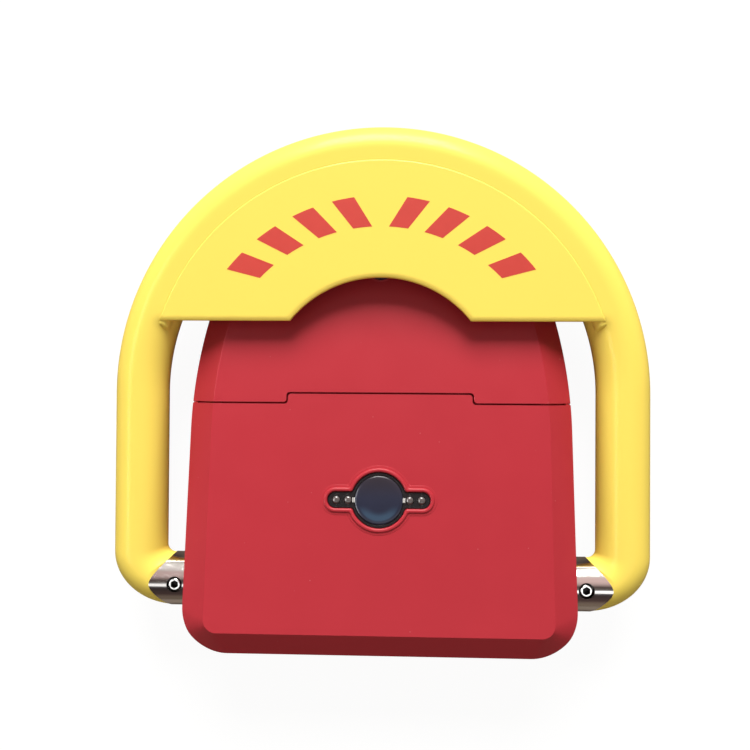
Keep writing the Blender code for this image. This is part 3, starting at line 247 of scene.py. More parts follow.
@dataclass(frozen=True)
class Finish:
    """A procedural surface.

    Attributes:
        slot: The record's material slot.
        colour: Base colour, linear.
        roughness: Mean roughness.
        metallic: 1 for bare metal.
        label: The material's name where it isn't the slot's.
        coat: Weight of a clear coat.
        specular: Strength of the reflection of a bare surface, 0.5 for most.
        drift: Share by which the colour drifts over patches.
        patch: Size of those patches.
        gloss_drift: How far the roughness drifts.
        grain: Size of the fine bumps.
        depth: Their height.
        stretch: Stretch of the fine bumps, for drawn or turned metal.
        speck: Share of pale specks, 0 for none.
        recess_shade_r: Radius of the shade painted into a recess on both sides, 0 for none.
        recess_shade_x: Its distance from the middle.
        recess_shade_low: Height over which the shade is painted.
        recess_shade_top: Height under which the shade is painted.
    """

    slot: str
    colour: Colour
    roughness: float
    metallic: float = 0.0
    label: str = ""
    coat: float = 0.0
    specular: float = 0.5
    drift: float = 0.05
    patch: float = 0.03
    gloss_drift: float = 0.10
    grain: float = 0.0008
    depth: float = 0.00001
    stretch: Point = (1, 1, 1)
    speck: float = 0.0
    recess_shade_r: float = 0.0
    recess_shade_x: float = CLAMP_X
    recess_shade_low: float = 0.055
    recess_shade_top: float = 0.080

    def recess_shade(self, nodes: Nodes) -> Number:
        """Return 1 where shade is painted inside the recesses and 0 elsewhere."""
        x, y, z = nodes.split(nodes.place())
        across = (x * x) ** 0.5 - self.recess_shade_x
        out = (across * across + y * y) ** 0.5
        deep = z.within(self.recess_shade_low, self.recess_shade_low + RECESS_SHADE_RISE,
                        self.recess_shade_top - RECESS_SHADE_FALL, self.recess_shade_top)
        return (1 - out.band(self.recess_shade_r * RECESS_SHADE_CORE, self.recess_shade_r)) * deep

    def tint(self, nodes: Nodes) -> Socket:
        """Return the colour: the base colour, drifting, with specks, and with shade painted into recesses
        where asked.
        """
        low = tuple(part * (1 - self.drift) for part in self.colour)
        high = tuple(min(1.0, part * (1 + self.drift)) for part in self.colour)
        colour = nodes.mix(nodes.noise(self.patch, 4.0), low, high)
        if self.speck:
            spots = nodes.number("TexVoronoi", 0, {}, {"Vector": nodes.place(), "Scale": SPECK_SCALE})
            keep = nodes.noise(SPECK_PATCH, 1.0).band(0.60, 0.72)
            pale = tuple(0.6 * part + 0.4 for part in self.colour)
            colour = nodes.mix((1 - spots.band(0.05, 0.11)) * keep * self.speck, colour, pale)
        if self.recess_shade_r:
            # painted shade in the recesses
            colour = nodes.mix(self.recess_shade(nodes), colour, RECESS_SHADE_COLOUR)
        return colour

    def height(self, nodes: Nodes) -> Number:
        """Return the height of the fine bumps, about 0 to 1."""
        return nodes.noise(self.grain, 3.0, self.stretch)

    def gloss(self, nodes: Nodes) -> Number:
        """Return the roughness."""
        return nodes.noise(self.patch / 2, 5.0) * self.gloss_drift + (self.roughness - self.gloss_drift / 2)

    def material(self) -> bpy.types.Material:
        """Return the material, made on first use."""
        name = (self.label or self.slot) + "_finish"
        known = bpy.data.materials.get(name)
        if known:
            return known
        made = bpy.data.materials.new(name)
        made.use_nodes = True
        nodes = Nodes(made.node_tree)
        bump = nodes.node("Bump", {}, {"Height": self.height(nodes), "Distance": self.depth, "Strength": 1.0})
        values = {"Base Color": self.tint(nodes), "Roughness": self.gloss(nodes), "Metallic": self.metallic,
                  "Specular IOR Level": self.specular, "Coat Weight": self.coat,
                  "Coat Roughness": COAT_ROUGHNESS, "Normal": bump.outputs[0]}
        surface = made.node_tree.nodes["Principled BSDF"]
        for key, value in values.items():
            nodes.plug(surface.inputs[key], value)
        return made


@dataclass(frozen=True)
class CoatFinish(Finish):
    """Powder coat: a soft orange peel over the fine grain."""

    peel: float = 0.004

    def height(self, nodes: Nodes) -> Number:
        """Return fine grain plus the wider orange peel."""
        return nodes.noise(self.grain) * 0.3 + nodes.noise(self.peel)


@dataclass(frozen=True)
class GlassFinish(Finish):
    """Dark domed glass: greyer up the slope, with a blue glow painted inside its lower edge where light
    through the dome would gather.

    Attributes:
        centre_y: Place of the glass along Y.
        radius: Its radius.
        upper: Colour up the slope.
        painted_gleam: Colour of the painted glow.
    """

    centre_y: float = 0.0
    radius: float = 0.02
    upper: Colour = (0.026, 0.022, 0.032)
    painted_gleam: Colour = (0.045, 0.078, 0.130)

    def tint(self, nodes: Nodes) -> Socket:
        """Return the colour: plain, mixed with the upper colour and the painted glow by place."""
        x, y, _ = nodes.split(nodes.place())
        across, along = x / self.radius, (y - self.centre_y) / self.radius
        out = (across * across + along * along) ** 0.5
        colour = nodes.mix(along.band(-0.1, 0.9), super().tint(nodes), self.upper)
        # Painted light: a blue glow inside the lower edge, where light through the dome would gather.
        painted_gleam_share = out.within(0.42, 0.72, 0.80, 0.90) * (-0.15 - along).band(0.0, 0.55)
        return nodes.mix(painted_gleam_share, colour, self.painted_gleam)


@dataclass(frozen=True)
class SteelFinish(Finish):
    """Polished steel with turning marks, waves and smears.

    Attributes:
        wave: Size of the waves.
        smear: Size of the smears.
    """

    wave: float = 0.010
    smear: float = 0.006

    def height(self, nodes: Nodes) -> Number:
        """Return turning marks plus long waves."""
        marks = nodes.noise(self.grain, 2.0, self.stretch) * 0.25
        return marks + nodes.noise(self.wave, 2.0, (0.5, 1, 1)) * 2.0

    def gloss(self, nodes: Nodes) -> Number:
        """Return the roughness, higher along smears."""
        return nodes.noise(self.smear, 5.0, (0.25, 1, 1)).band(0.45, 0.75) * self.gloss_drift + self.roughness


class Bench:
    """Hand tools. Each leaves a piece at the origin with its place in its mesh."""

    @staticmethod
    def show(name: str, data: Any) -> Piece:
        """Put a mesh, lamp or camera into the scene."""
        piece = bpy.data.objects.new(name, data)
        bpy.context.scene.collection.objects.link(piece)
        return piece

    @staticmethod
    def take(piece: Piece) -> None:
        """Select one piece alone and make it active."""
        bpy.ops.object.select_all(action="DESELECT")
        piece.select_set(True)
        bpy.context.view_layer.objects.active = piece

    @classmethod
    def start(cls, piece: Piece) -> None:
        """Open one piece in edit mode with everything selected."""
        cls.take(piece)
        bpy.ops.object.mode_set(mode="EDIT")
        bpy.ops.mesh.select_all(action="SELECT")

    @staticmethod
    def stop() -> None:
        """Turn all faces outwards and leave edit mode."""
        bpy.ops.mesh.select_all(action="SELECT")
        bpy.ops.mesh.normals_make_consistent(inside=False)
        bpy.ops.object.mode_set(mode="OBJECT")

    @classmethod
    def modify(cls, piece: Piece, kind: str, **settings: Any) -> None:
        """Add a modifier with its settings and apply it."""
        cls.take(piece)
        step = piece.modifiers.new("step", kind)
        for key, value in settings.items():
            setattr(step, key, value)
        bpy.ops.object.modifier_apply(modifier=step.name)

    @classmethod
    def turn(cls, name: str, profile: Plan, sides: int = 96) -> Piece:
        """Turn a closed piece on Z.

        Args:
            name: The piece's name.
            profile: Radius and height of each step, from one end face to the other.
            sides: Sides round the axis.

        Returns:
            The piece.
        """
        radius, height = profile[0]
        bpy.ops.mesh.primitive_circle_add(vertices=sides, radius=radius, fill_type="NGON",
                                          location=(0, 0, height))
        piece = bpy.context.object
        piece.name = name
        bpy.ops.object.transform_apply(location=True)
        cls.start(piece)
        for wide, high in profile[1:]:
            step = {"value": (0, 0, high - height)}
            bpy.ops.mesh.extrude_region_move(TRANSFORM_OT_translate=step)
            bpy.ops.transform.resize(value=(wide / radius, wide / radius, 1), center_override=(0, 0, high))
            radius, height = wide, high
        cls.stop()
        return piece

    @classmethod
    def rod(cls, axis: str, centre: Point, radius: float, length: float = THROUGH, sides: int = 96) -> Piece:
        """Make a plain round tool about a centre, along X, Y or Z."""
        tool = cls.turn("tool", [(radius, -length / 2), (radius, length / 2)], sides)
        lay = {"X": Matrix.Rotation(pi / 2, 4, "Y"), "Y": Matrix.Rotation(pi / 2, 4, "X"),
               "Z": Matrix.Identity(4)}[axis]
        tool.data.transform(Matrix.Translation(centre) @ lay)
        return tool

    @staticmethod
    def block(low: Point, high: Point) -> Piece:
        """Make a box-shaped tool between two corners."""
        middle = [(a + b) / 2 for a, b in zip(low, high)]
        size = [abs(b - a) for a, b in zip(low, high)]
        bpy.ops.mesh.primitive_cube_add(size=1, location=middle, scale=size)
        bpy.ops.object.transform_apply(location=True, scale=True)
        return bpy.context.object

    @classmethod
    def loft(cls, name: str, *solids: Sequence[Ring], closed: bool = False) -> Piece:
        """Skin one solid or more, each over rings that hold the same number of points.

        Args:
            name: The piece's name.
            solids: The rings of each solid, in order.
            closed: True joins the last ring to the first; False caps both ends.

        Returns:
            The piece.
        """
        shape = bmesh.new()
        for rings in solids:
            rows = [[shape.verts.new(point) for point in ring] for ring in rings]
            spans = list(zip(rows, rows[1:])) + ([(rows[-1], rows[0])] if closed else [])
            for one, two in spans:
                for i in range(len(one)):
                    j = (i + 1) % len(one)
                    shape.faces.new((one[i], one[j], two[j], two[i]))
            for row in () if closed else (rows[0], rows[-1]):
                shape.faces.new(row)
        bmesh.ops.recalc_face_normals(shape, faces=shape.faces)
        mesh = bpy.data.meshes.new(name)
        shape.to_mesh(mesh)
        shape.free()
        return cls.show(name, mesh)

    @classmethod
    def combine(cls, piece: Piece, tool: Piece, operation: str = "DIFFERENCE") -> None:
        """Cut a piece with a tool, or join the tool to it, and put the tool away."""
        cls.modify(piece, "BOOLEAN", operation=operation, solver="EXACT", object=tool)
        bpy.data.objects.remove(tool)

    @classmethod
    def soften(cls, piece: Piece, width: float = 0.0, segments: int = 2, angle: float = 35) -> Piece:
        """Round a piece's edges and shade it.

        Args:
            piece: The piece.
            width: Width of the rounding, 0 for none.
            segments: Faces across the rounding.
            angle: Edges sharper than this, in degrees, are rounded.

        Returns:
            The piece.
        """
        cls.start(piece)
        bpy.ops.mesh.remove_doubles(threshold=MERGE)
        cls.stop()
        if width:
            cls.modify(piece, "BEVEL", width=width, segments=segments, limit_method="ANGLE",
                       angle_limit=radians(angle), use_clamp_overlap=True)
        bpy.ops.object.shade_smooth_by_angle(angle=radians(SMOOTH_ANGLE))
        cls.modify(piece, "WEIGHTED_NORMAL", keep_sharp=True)
        return piece

    @staticmethod
    def deliver(piece: Piece, finish: Finish, body: Body, *nodes: str) -> None:
        """Dress a finished piece and tie it to the frame.

        Args:
            piece: The piece.
            finish: Its surface.
            body: The body it moves with.
            nodes: CAD nodes that it stands for.
        """
        piece.data.materials.clear()
        piece.data.materials.append(finish.material())
        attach(piece, body.value)
        if nodes:
            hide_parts(*nodes)
        LOG.info("%s on %s: %d faces", piece.name, body.value, len(piece.data.polygons))


def arc(x: float, y: float, radius: float, start: float, end: float, steps: int) -> Plan:
    """Return points along an arc, both ends included."""
    turns = [start + (end - start) * i / steps for i in range(steps + 1)]
    return [(x + radius * cos(turn), y + radius * sin(turn)) for turn in turns]


def smooth(value: float) -> float:
    """Return 0 below 0 and 1 above 1, with a smooth rise between them."""
    share = min(1.0, max(0.0, value))
    return share ** 2 * (3 - 2 * share)


YELLOW = CoatFinish("yellow_coat", (0.98, 0.755, 0.130), 0.40, coat=0.10, specular=0.15, drift=0.012,
                    patch=0.06, gloss_drift=0.08, grain=0.0009)
SIGN_PAINT = CoatFinish("yellow_coat", (0.60, 0.052, 0.040), 0.42, label="sign_paint", patch=0.01,
                        depth=0.000008)
RED = Finish("red_shell", (0.430, 0.024, 0.037), 0.38, specular=0.32, patch=0.05, grain=0.0006,
             depth=0.000012, speck=0.25)
# The sleeves get painted shade in their screw sinks.
BRIGHT = SteelFinish("bright_steel", (0.70, 0.67, 0.65), 0.10, 1.0, gloss_drift=0.14, grain=0.0006,
                     depth=0.00002, stretch=(1.0, 0.05, 0.05), recess_shade_r=0.0067)
# Pale colour painted on the disc clips so that they show as bright glints at the disc's sides.
CLIP_PAINTED_GLINT = Finish("bright_steel", (0.80, 0.79, 0.77), 0.35, label="clip_painted_glint", patch=0.002)
DARK_LOCK = Finish("bright_steel", (0.055, 0.055, 0.060), 0.32, 1.0, "dark_lock", drift=0.10, patch=0.006)
ZINC = Finish("zinc_steel", (0.55, 0.56, 0.57), 0.30, 1.0, drift=0.10, patch=0.008, gloss_drift=0.16)
# The screws get painted shade in their hex sockets.
SCREW = Finish("zinc_steel", (0.74, 0.74, 0.73), 0.10, 1.0, "polished_screw", drift=0.08, patch=0.004,
               gloss_drift=0.08, depth=0.000002, recess_shade_r=0.0036, recess_shade_top=0.0686)
GEAR = Finish("gear_steel", (0.32, 0.32, 0.33), 0.34, 1.0, drift=0.10, patch=0.01, gloss_drift=0.16)
BRONZE = Finish("bronze", (0.50, 0.31, 0.14), 0.38, 1.0, drift=0.10, patch=0.008)
BRASS = Finish("brass", (0.70, 0.52, 0.22), 0.30, 1.0, drift=0.08, patch=0.006)
MOTOR = Finish("motor_black", (0.030, 0.030, 0.032), 0.40, drift=0.15)
RUBBER = Finish("black_rubber", (0.018, 0.018, 0.018), 0.78, drift=0.25, depth=0.00003)
PLASTIC = Finish("black_plastic", (0.010, 0.010, 0.012), 0.24, coat=0.2, drift=0.2, patch=0.004,
                 gloss_drift=0.12, depth=0.000006)
# The disc carries a painted glow in its lower edge.
GLASS = GlassFinish("dark_window", (0.025, 0.028, 0.052), 0.18, specular=0.3, drift=0.15, patch=0.012,
                    gloss_drift=0.08, depth=0.000003, centre_y=WINDOW_Y)
LAMP = Finish("lamp_clear", (0.10, 0.085, 0.085), 0.12, coat=0.8, drift=0.45, patch=0.003, depth=0.000006)
BOARD = Finish("board_green", (0.03, 0.20, 0.09), 0.45, coat=0.3, drift=0.2, patch=0.003)
CELL = Finish("cell_jacket", (0.10, 0.11, 0.13), 0.34, 0.4, drift=0.08)
CARRIED = {kind.slot: kind for kind in (YELLOW, RED, BRIGHT, ZINC, GEAR, BRONZE, BRASS, MOTOR, RUBBER,
                                        PLASTIC, GLASS, LAMP, BOARD, CELL)}


@dataclass
class Assembly:
    """Sizes that more than one sub-assembly needs."""

    axis_z: float = 0.047
    saddle_x: float = 0.200582
    saddle_r: float = 0.0235
    seat: float = 0.0003
    roof_z: float = 0.083
    roof_angle: float = 0.1391
    lock_y: float = 0.272

    def roof(self, y: float) -> float:
        """Return the height of the roof's flat outside."""
        return self.roof_z - y * tan(self.roof_angle)


@dataclass
class Arm(Assembly):
    """The bent tube, its crescent plate with weld and painted bars."""

    leg_x: float = 0.2078
    tube_r: float = 0.0222
    tube_sides: int = 72
    tube_round: float = 0.0005
    trim_x: float = 0.14
    arch_y: float = 0.162159
    arch_steps: int = 144
    elbow_outer_x: float = 0.055
    elbow_outer_y: float = 0.047
    elbow_inner_r: float = 0.006
    elbow_steps: int = 24
    plate_top: float = 0.0224
    plate_t: float = 0.0052
    plate_inner_r: float = 0.0975
    plate_rise: float = 0.0608
    plate_edge: float = 0.0020
    plate_round: float = 0.0005
    roll_w: float = 0.0043
    roll_drop: float = 0.0012
    roll_steps: int = 8
    crease_in: float = 0.0107
    crease_drop: float = 0.0005
    crease_run: float = 0.004
    crease_fade: float = 0.010
    crease_past: float = 0.006
    weld_t: float = 0.0030
    weld_past: float = 0.0045
    weld_low: float = 24.0
    weld_high: float = 60.0
    weld_steps: int = 10
    bar_low_r: float = 0.140
    bar_high_r: float = 0.166
    bar_wide: float = 0.115
    bar_pitch: float = 0.215
    bar_slant: float = 0.085
    bar_count: int = 4
    bar_t: float = 0.00012
    bar_steps: int = 8

    def lift(self, inward: float) -> float:
        """Return how far the filler beside the plate raises the tube, at a distance inward of its middle."""
        radius = self.tube_r
        end, high = self.crease_in + self.plate_edge / 3, self.plate_top - self.crease_drop
        tilt = atan(end / high) - acos(radius / sqrt(end ** 2 + high ** 2))
        at = min(max(inward, radius * sin(tilt)), end)
        rise = (radius - at * sin(tilt)) / cos(tilt) - sqrt(radius ** 2 - at ** 2)
        return rise * max(0.0, 1 - max(0.0, inward - end) / self.crease_run)

    def filled(self, turn: float) -> float:
        """Return the filler's share at an angle round the arch, fading at the plate's corners."""
        lean = asin(self.plate_rise / (self.leg_x - self.crease_in))
        return smooth(((min(turn, pi - turn) - lean) * self.leg_x + self.crease_past) / self.crease_fade)

    def ring(self, outer: Sequence[float], inner: Sequence[float], filled: float = 0.0) -> list[Point]:
        """Return a ring across the tube.

        Args:
            outer: Its outer side point in plan.
            inner: Its inner side point in plan.
            filled: Share of the filler that lies beside the plate there.

        Returns:
            The ring's points.
        """
        middle = Vector(outer).lerp(Vector(inner), 0.5)
        reach = Vector(outer) - middle
        points = []
        for i in range(self.tube_sides):
            turn = 2 * pi * i / self.tube_sides
            flat = middle + reach * cos(turn)
            up = self.tube_r * sin(turn)
            if up > 0:
                up += filled * self.lift(-self.tube_r * cos(turn))
            points.append((flat.x, flat.y, self.axis_z + up))
        return points

    def tube(self) -> Piece:
        """Make the bent tube, its ends rounded to sit in the sleeves' coped ends."""
        leg, radius, axis = self.leg_x, self.tube_r, self.axis_z
        start = self.saddle_x - self.saddle_r - radius / 4
        right = [((start, -radius), (start, radius))]
        outer_c = Vector((leg + radius - self.elbow_outer_x, self.elbow_outer_y - radius))
        inner_c = Vector((leg - radius - self.elbow_inner_r, radius + self.elbow_inner_r))
        for i in range(self.elbow_steps + 1):
            turn = pi / 2 * i / self.elbow_steps
            outside = outer_c + Vector((self.elbow_outer_x * sin(turn), -self.elbow_outer_y * cos(turn)))
            inside = inner_c + self.elbow_inner_r * Vector((sin(turn), -cos(turn)))
            right.append((tuple(outside), tuple(inside)))
        left = [((-a, b), (-c, d)) for (a, b), (c, d) in reversed(right)]
        arch = [arc(0, self.arch_y, reach, 0, pi, self.arch_steps) for reach in (leg + radius, leg - radius)]
        shares = [self.filled(pi * i / self.arch_steps) for i in range(self.arch_steps + 1)]
        rings = [self.ring(*place) for place in (*right, *zip(*arch, shares), *left)]
        tube = Bench.loft("arm_tube_skin", rings)
        tall = 2 * radius
        for side in Side:
            saddle = side.value * self.saddle_x
            trim = Bench.block((side.value * self.trim_x, -tall, axis - tall), (saddle, tall, axis + tall))
            Bench.combine(trim, Bench.rod("Y", (saddle, 0, axis), self.saddle_r - self.seat, sides=192))
            Bench.combine(tube, trim)
        return Bench.soften(tube, self.tube_round, 2, 45)

    def plate_ring(self, height: float, share: float) -> list[Point]:
        """Return the plate's outline at a height over the axis, drawn in by a share of its rounded edges."""
        inward = sqrt((self.tube_r + 2 * self.seat) ** 2 - height ** 2)
        reach = self.leg_x - max(inward, self.crease_in) - share * self.plate_edge
        inset = share * self.roll_w
        inner, rise = self.plate_inner_r + inset, self.plate_rise + inset
        lean, inner_lean = asin(rise / reach), asin(rise / inner)
        outline = arc(0, self.arch_y, reach, lean, pi - lean, self.arch_steps)
        outline += arc(0, self.arch_y, inner, pi - inner_lean, inner_lean, self.arch_steps // 2)
        return [(x, y, self.axis_z + height) for x, y in outline]

    def plate(self) -> Piece:
        """Make the crescent plate: its free edges are rolled over, its outer edge runs into the tube."""
        rings = [self.plate_ring(self.plate_top - self.plate_t, 0.0)]
        for i in range(self.roll_steps + 1):
            share = i / self.roll_steps
            rings.append(self.plate_ring(self.plate_top - self.roll_drop * (1 - share) ** 2, share))
        return Bench.soften(Bench.loft("sign_plate_skin", rings), self.plate_round, 3, 45)

    def weld(self) -> Piece:
        """Make the weld under the plate: a leaf-shaped bead on the tube's flank, slanted at its ends."""
        lean = asin(self.plate_rise / self.leg_x)
        steps, across = 2 * self.arch_steps, self.weld_steps
        rings = []
        for i in range(steps + 1):
            run = i / steps
            near = min(run, 1 - run) * (pi - 2 * lean) * self.leg_x
            thick = self.weld_t * sqrt(1 - (1 - min(1.0, near / self.weld_t)) ** 2)
            row = []
            for j in range(2 * across):
                share = (j if j <= across else 2 * across - j) / across
                tilt = radians(self.weld_low + (self.weld_high - self.weld_low) * share)
                bead = self.tube_r + (thick * sin(pi * share) if j <= across else -self.weld_t / 4)
                past = (1 - 2 * run) * self.weld_past * share
                turn = lean + (pi - 2 * lean) * run - past / self.leg_x
                out = self.leg_x - bead * sin(tilt)
                row.append((out * cos(turn), self.arch_y + out * sin(turn), self.axis_z + bead * cos(tilt)))
            rings.append(row)
        return Bench.soften(Bench.loft("plate_weld", rings))

    def bars(self) -> Piece:
        """Make the plain slanted bars painted on the plate, mirrored about its middle."""
        low = self.axis_z + self.plate_top - self.bar_t
        across = [self.bar_wide * i / self.bar_steps for i in range(self.bar_steps + 1)]
        bars = []
        for side in Side:
            for number in range(self.bar_count):
                first = self.bar_pitch * (number + 0.5) - self.bar_wide / 2
                edge = [(first + step, self.bar_low_r) for step in across]
                edge += [(first + self.bar_slant + step, self.bar_high_r) for step in reversed(across)]
                bars.append([[(side.value * reach * sin(turn), self.arch_y + reach * cos(turn), height)
                              for turn, reach in edge] for height in (low, low + 2 * self.bar_t)])
        return Bench.loft("painted_bars", *bars)

    def build(self) -> None:
        """Make and dress every piece of the arm."""
        Bench.deliver(self.tube(), YELLOW, Body.ARM, "arm_tube")
        Bench.deliver(self.plate(), YELLOW, Body.ARM, "sign_plate")
        Bench.deliver(self.weld(), YELLOW, Body.ARM)
        Bench.deliver(self.bars(), SIGN_PAINT, Body.ARM)


@dataclass
class Pivot(Assembly):
    """One steel sleeve and its clamp screw."""

    side: Side = Side.LEFT
    sleeve_r: float = 0.0225
    sleeve_round: float = 0.0004
    inner_x: float = 0.1577
    bore_r: float = 0.0128
    sink_r: float = 0.0066
    sink_z: float = 0.0625
    head_r: float = 0.0050
    head_h: float = 0.006
    hex_r: float = 0.0034
    hex_h: float = 0.0042
    shank_r: float = 0.003
    length: float = 0.011
    bevel: float = 0.0006
    screw_round: float = 0.0002

    def sleeve(self) -> Piece:
        """Make the sleeve: turned, bored, coped to the tube and sunk for its screw."""
        way, axis = self.side.value, self.axis_z
        saddle, clamp = (way * self.saddle_x, 0, axis), way * CLAMP_X
        piece = Bench.turn(f"pivot_sleeve_{self.side.label}_skin",
                           [(self.sleeve_r, self.inner_x), (self.sleeve_r, self.saddle_x)], 192)
        piece.data.transform(Matrix.Translation((0, 0, axis)) @ Matrix.Rotation(way * pi / 2, 4, "Y"))
        Bench.combine(piece, Bench.rod("X", saddle, self.bore_r))
        Bench.combine(piece, Bench.rod("Y", saddle, self.saddle_r, sides=192))
        Bench.combine(piece, Bench.rod("Z", (clamp, 0, self.sink_z + THROUGH / 2), self.sink_r))
        Bench.combine(piece, Bench.rod("Z", (clamp, 0, axis + THROUGH / 2), self.shank_r + self.seat))
        return Bench.soften(piece, self.sleeve_round)

    def screw(self) -> Piece:
        """Make the socket-head clamp screw."""
        seat, edge, clamp = self.sink_z + self.seat, self.bevel, self.side.value * CLAMP_X
        low, top = seat - self.length, seat + self.head_h
        profile = [(self.shank_r - edge, low), (self.shank_r, low + edge), (self.shank_r, seat),
                   (self.head_r, seat), (self.head_r, top - edge), (self.head_r - edge, top)]
        piece = Bench.turn(f"clamp_screw_{self.side.label}_skin", profile)
        piece.data.transform(Matrix.Translation((clamp, 0, 0)))
        Bench.combine(piece, Bench.rod("Z", (clamp, 0, top), self.hex_r, 2 * self.hex_h, 6))
        return Bench.soften(piece, self.screw_round)

    def build(self) -> None:
        """Make and dress the sleeve and its screw."""
        label = self.side.label
        Bench.deliver(self.sleeve(), BRIGHT, Body.ARM, f"pivot_sleeve_{label}")
        Bench.deliver(self.screw(), SCREW, Body.ARM, f"clamp_screw_{label}")


@dataclass
class Housing(Assembly):
    """The red shell: front cover, battery lid and front screws."""

    half_w: float = 0.1653
    front_y: float = -0.056
    rear_y: float = 0.3135
    draft: float = 0.0015
    wall: float = 0.0035
    side_straight_y: float = 0.130
    side_curve_r: float = 0.400
    front_corner_r: float = 0.040
    rear_corner_r: float = 0.060
    rear_corner_y: float = 0.2535
    chamfer_w: float = 0.021
    chamfer_drop: float = 0.012
    front_steep: float = 0.004
    front_steep_y: float = -0.034
    front_steep_run: float = 0.020
    roof_corner_r: float = 0.011
    cover_z: float = 0.0064
    edge_round: float = 0.0010
    corner_steps: int = 22
    seam_y: float = 0.1534
    seam_gap: float = 0.0012
    tongue_y: float = 0.1619
    tongue_half_w: float = 0.0789
    tongue_corner_r: float = 0.00275
    tongue_steps: int = 8
    window_deep: float = 0.010
    slot_r: float = 0.0235
    slot_half: float = 0.0135
    slot_steps: int = 64
    pad_r: float = 0.013
    pad_past: float = 0.001
    ledge_drop: float = 0.0075
    ledge_t: float = 0.003
    ledge_root: float = 0.012
    ledge_end_y: float = 0.184
    ledge_half_w: float = 0.138
    lip_t: float = 0.0015
    lip_reach: float = 0.0045
    stop_drop: float = 0.0006
    lock_hole_r: float = 0.0098
    screw_x: float = 0.090
    screw_z: float = 0.020
    screw_r: float = 0.0045
    screw_h: float = 0.0022
    screw_l: float = 0.0085
    screw_shank_r: float = 0.0025
    screw_hex_r: float = 0.0014
    screw_hex_h: float = 0.0012
    screw_round: float = 0.00015

    def outline(self, inset: float, corner: float = 0.0) -> Plan:
        """Return the housing's plan, with the same number of points at every inset.

        Args:
            inset: How far it is drawn in.
            corner: Radius of its front corners, or 0 for the housing's own, drawn in.

        Returns:
            Its points.
        """
        reach = self.side_curve_r - self.rear_corner_r
        lean = asin((self.rear_corner_y - self.side_straight_y) / reach)
        side_x = self.half_w - self.side_curve_r
        steps = self.corner_steps
        turn = corner or self.front_corner_r - inset
        right = arc(self.half_w - inset - turn, self.front_y + inset + turn, turn, -pi / 2, 0, steps)
        right += arc(side_x, self.side_straight_y, self.side_curve_r - inset, 0, lean, steps)
        right += arc(side_x + reach * cos(lean), self.rear_corner_y, self.rear_corner_r - inset,
                     lean, pi / 2, steps)[1:]
        return right + [(-x, y) for x, y in reversed(right)]

    def steep(self, y: float) -> float:
        """Return how much lower the chamfer ends towards the front, where it is steeper."""
        return self.front_steep * smooth((self.front_steep_y - y) / self.front_steep_run)

    def skin(self, depth: float) -> list[Ring]:
        """Return the rings of a skin at a depth under the shell's outside: roof, side and foot."""
        lean = atan(self.chamfer_drop / self.chamfer_w)
        inset = self.draft + self.chamfer_w + depth * tan(lean / 2)
        drop = self.chamfer_drop * (1 - depth / self.chamfer_w) + depth / cos(lean)
        return [[(x, y, self.roof(y) - depth) for x, y in self.outline(inset, self.roof_corner_r)],
                [(x, y, self.roof(y) - drop - self.steep(y)) for x, y in self.outline(self.draft + depth)],
                [(x, y, self.cover_z) for x, y in self.outline(depth)]]

    def shell(self, name: str, outside: float = 0.0, thick: float = 0.0) -> Piece:
        """Make a whole shell, open below.

        Args:
            name: The piece's name.
            outside: How far it lies under the housing's outside.
            thick: Its wall, or 0 for the housing's own.

        Returns:
            The piece.
        """
        inside = outside + (thick or self.wall)
        return Bench.loft(name, self.skin(inside) + self.skin(outside)[::-1])

    def ledge(self, low_x: float, high_x: float, root: float) -> Piece:
        """Make a stretch of the ledge that reaches under the lid, from its root at the seam."""
        front, end, high = root - self.ledge_root, self.ledge_end_y, self.ledge_drop
        low, top = high + self.ledge_t, self.wall / 2
        corners = [(front, top), (front, low), (end, low), (end, high), (root, high), (root, top)]
        rings = [[(x, y, self.roof(y) - drop) for y, drop in corners] for x in (low_x, high_x)]
        return Bench.loft("tool", rings)

    def slab(self, half: float, low: float, high: float) -> Piece:
        """Make a tall block between two places along Y, as a tool."""
        tall = 2 * self.roof_z
        return Bench.block((-half, low, -tall), (half, high, tall))

    def lips(self) -> Piece:
        """Make the lips that carry on past the seam inside the side walls, and the stops in the seam."""
        wide, low = 2 * self.half_w, self.seam_y - 2 * self.lip_reach
        lips = self.shell("tool", self.wall + self.seat, self.lip_t)
        root = self.shell("tool", self.wall / 2, self.wall / 2 + self.seat + self.lip_t)
        stop = self.shell("tool", self.stop_drop, self.wall)
        for tool, past in ((lips, self.lip_reach), (root, -self.lip_reach), (stop, self.seam_gap / 3)):
            Bench.combine(tool, self.slab(wide, low, self.seam_y + past), "INTERSECT")
        Bench.combine(lips, root, "UNION")
        for tool, half in ((stop, self.half_w - 2 * self.wall), (lips, self.ledge_half_w - self.lip_t)):
            Bench.combine(tool, self.slab(half, -wide, wide))
        Bench.combine(lips, stop, "UNION")
        return lips

    def behind_seam(self, offset: float) -> Piece:
        """Make the space behind the seam, with the notch for the tongue, as a tool."""
        far, out = self.rear_y + self.wall, self.half_w + self.wall
        half, seam, tongue = self.tongue_half_w + offset, self.seam_y + offset, self.tongue_y + offset
        turn, steps = self.tongue_corner_r, self.tongue_steps
        right = arc(half + turn, seam + turn, turn, -pi / 2, -pi, steps)
        right += arc(half - turn, tongue - turn, turn, 0, pi / 2, steps)
        outline = [(out, seam)] + right + [(-x, y) for x, y in reversed(right)]
        outline += [(-out, seam), (-out, far), (out, far)]
        return Bench.loft("tool", [[(x, y, z) for x, y in outline] for z in (-THROUGH, THROUGH)])

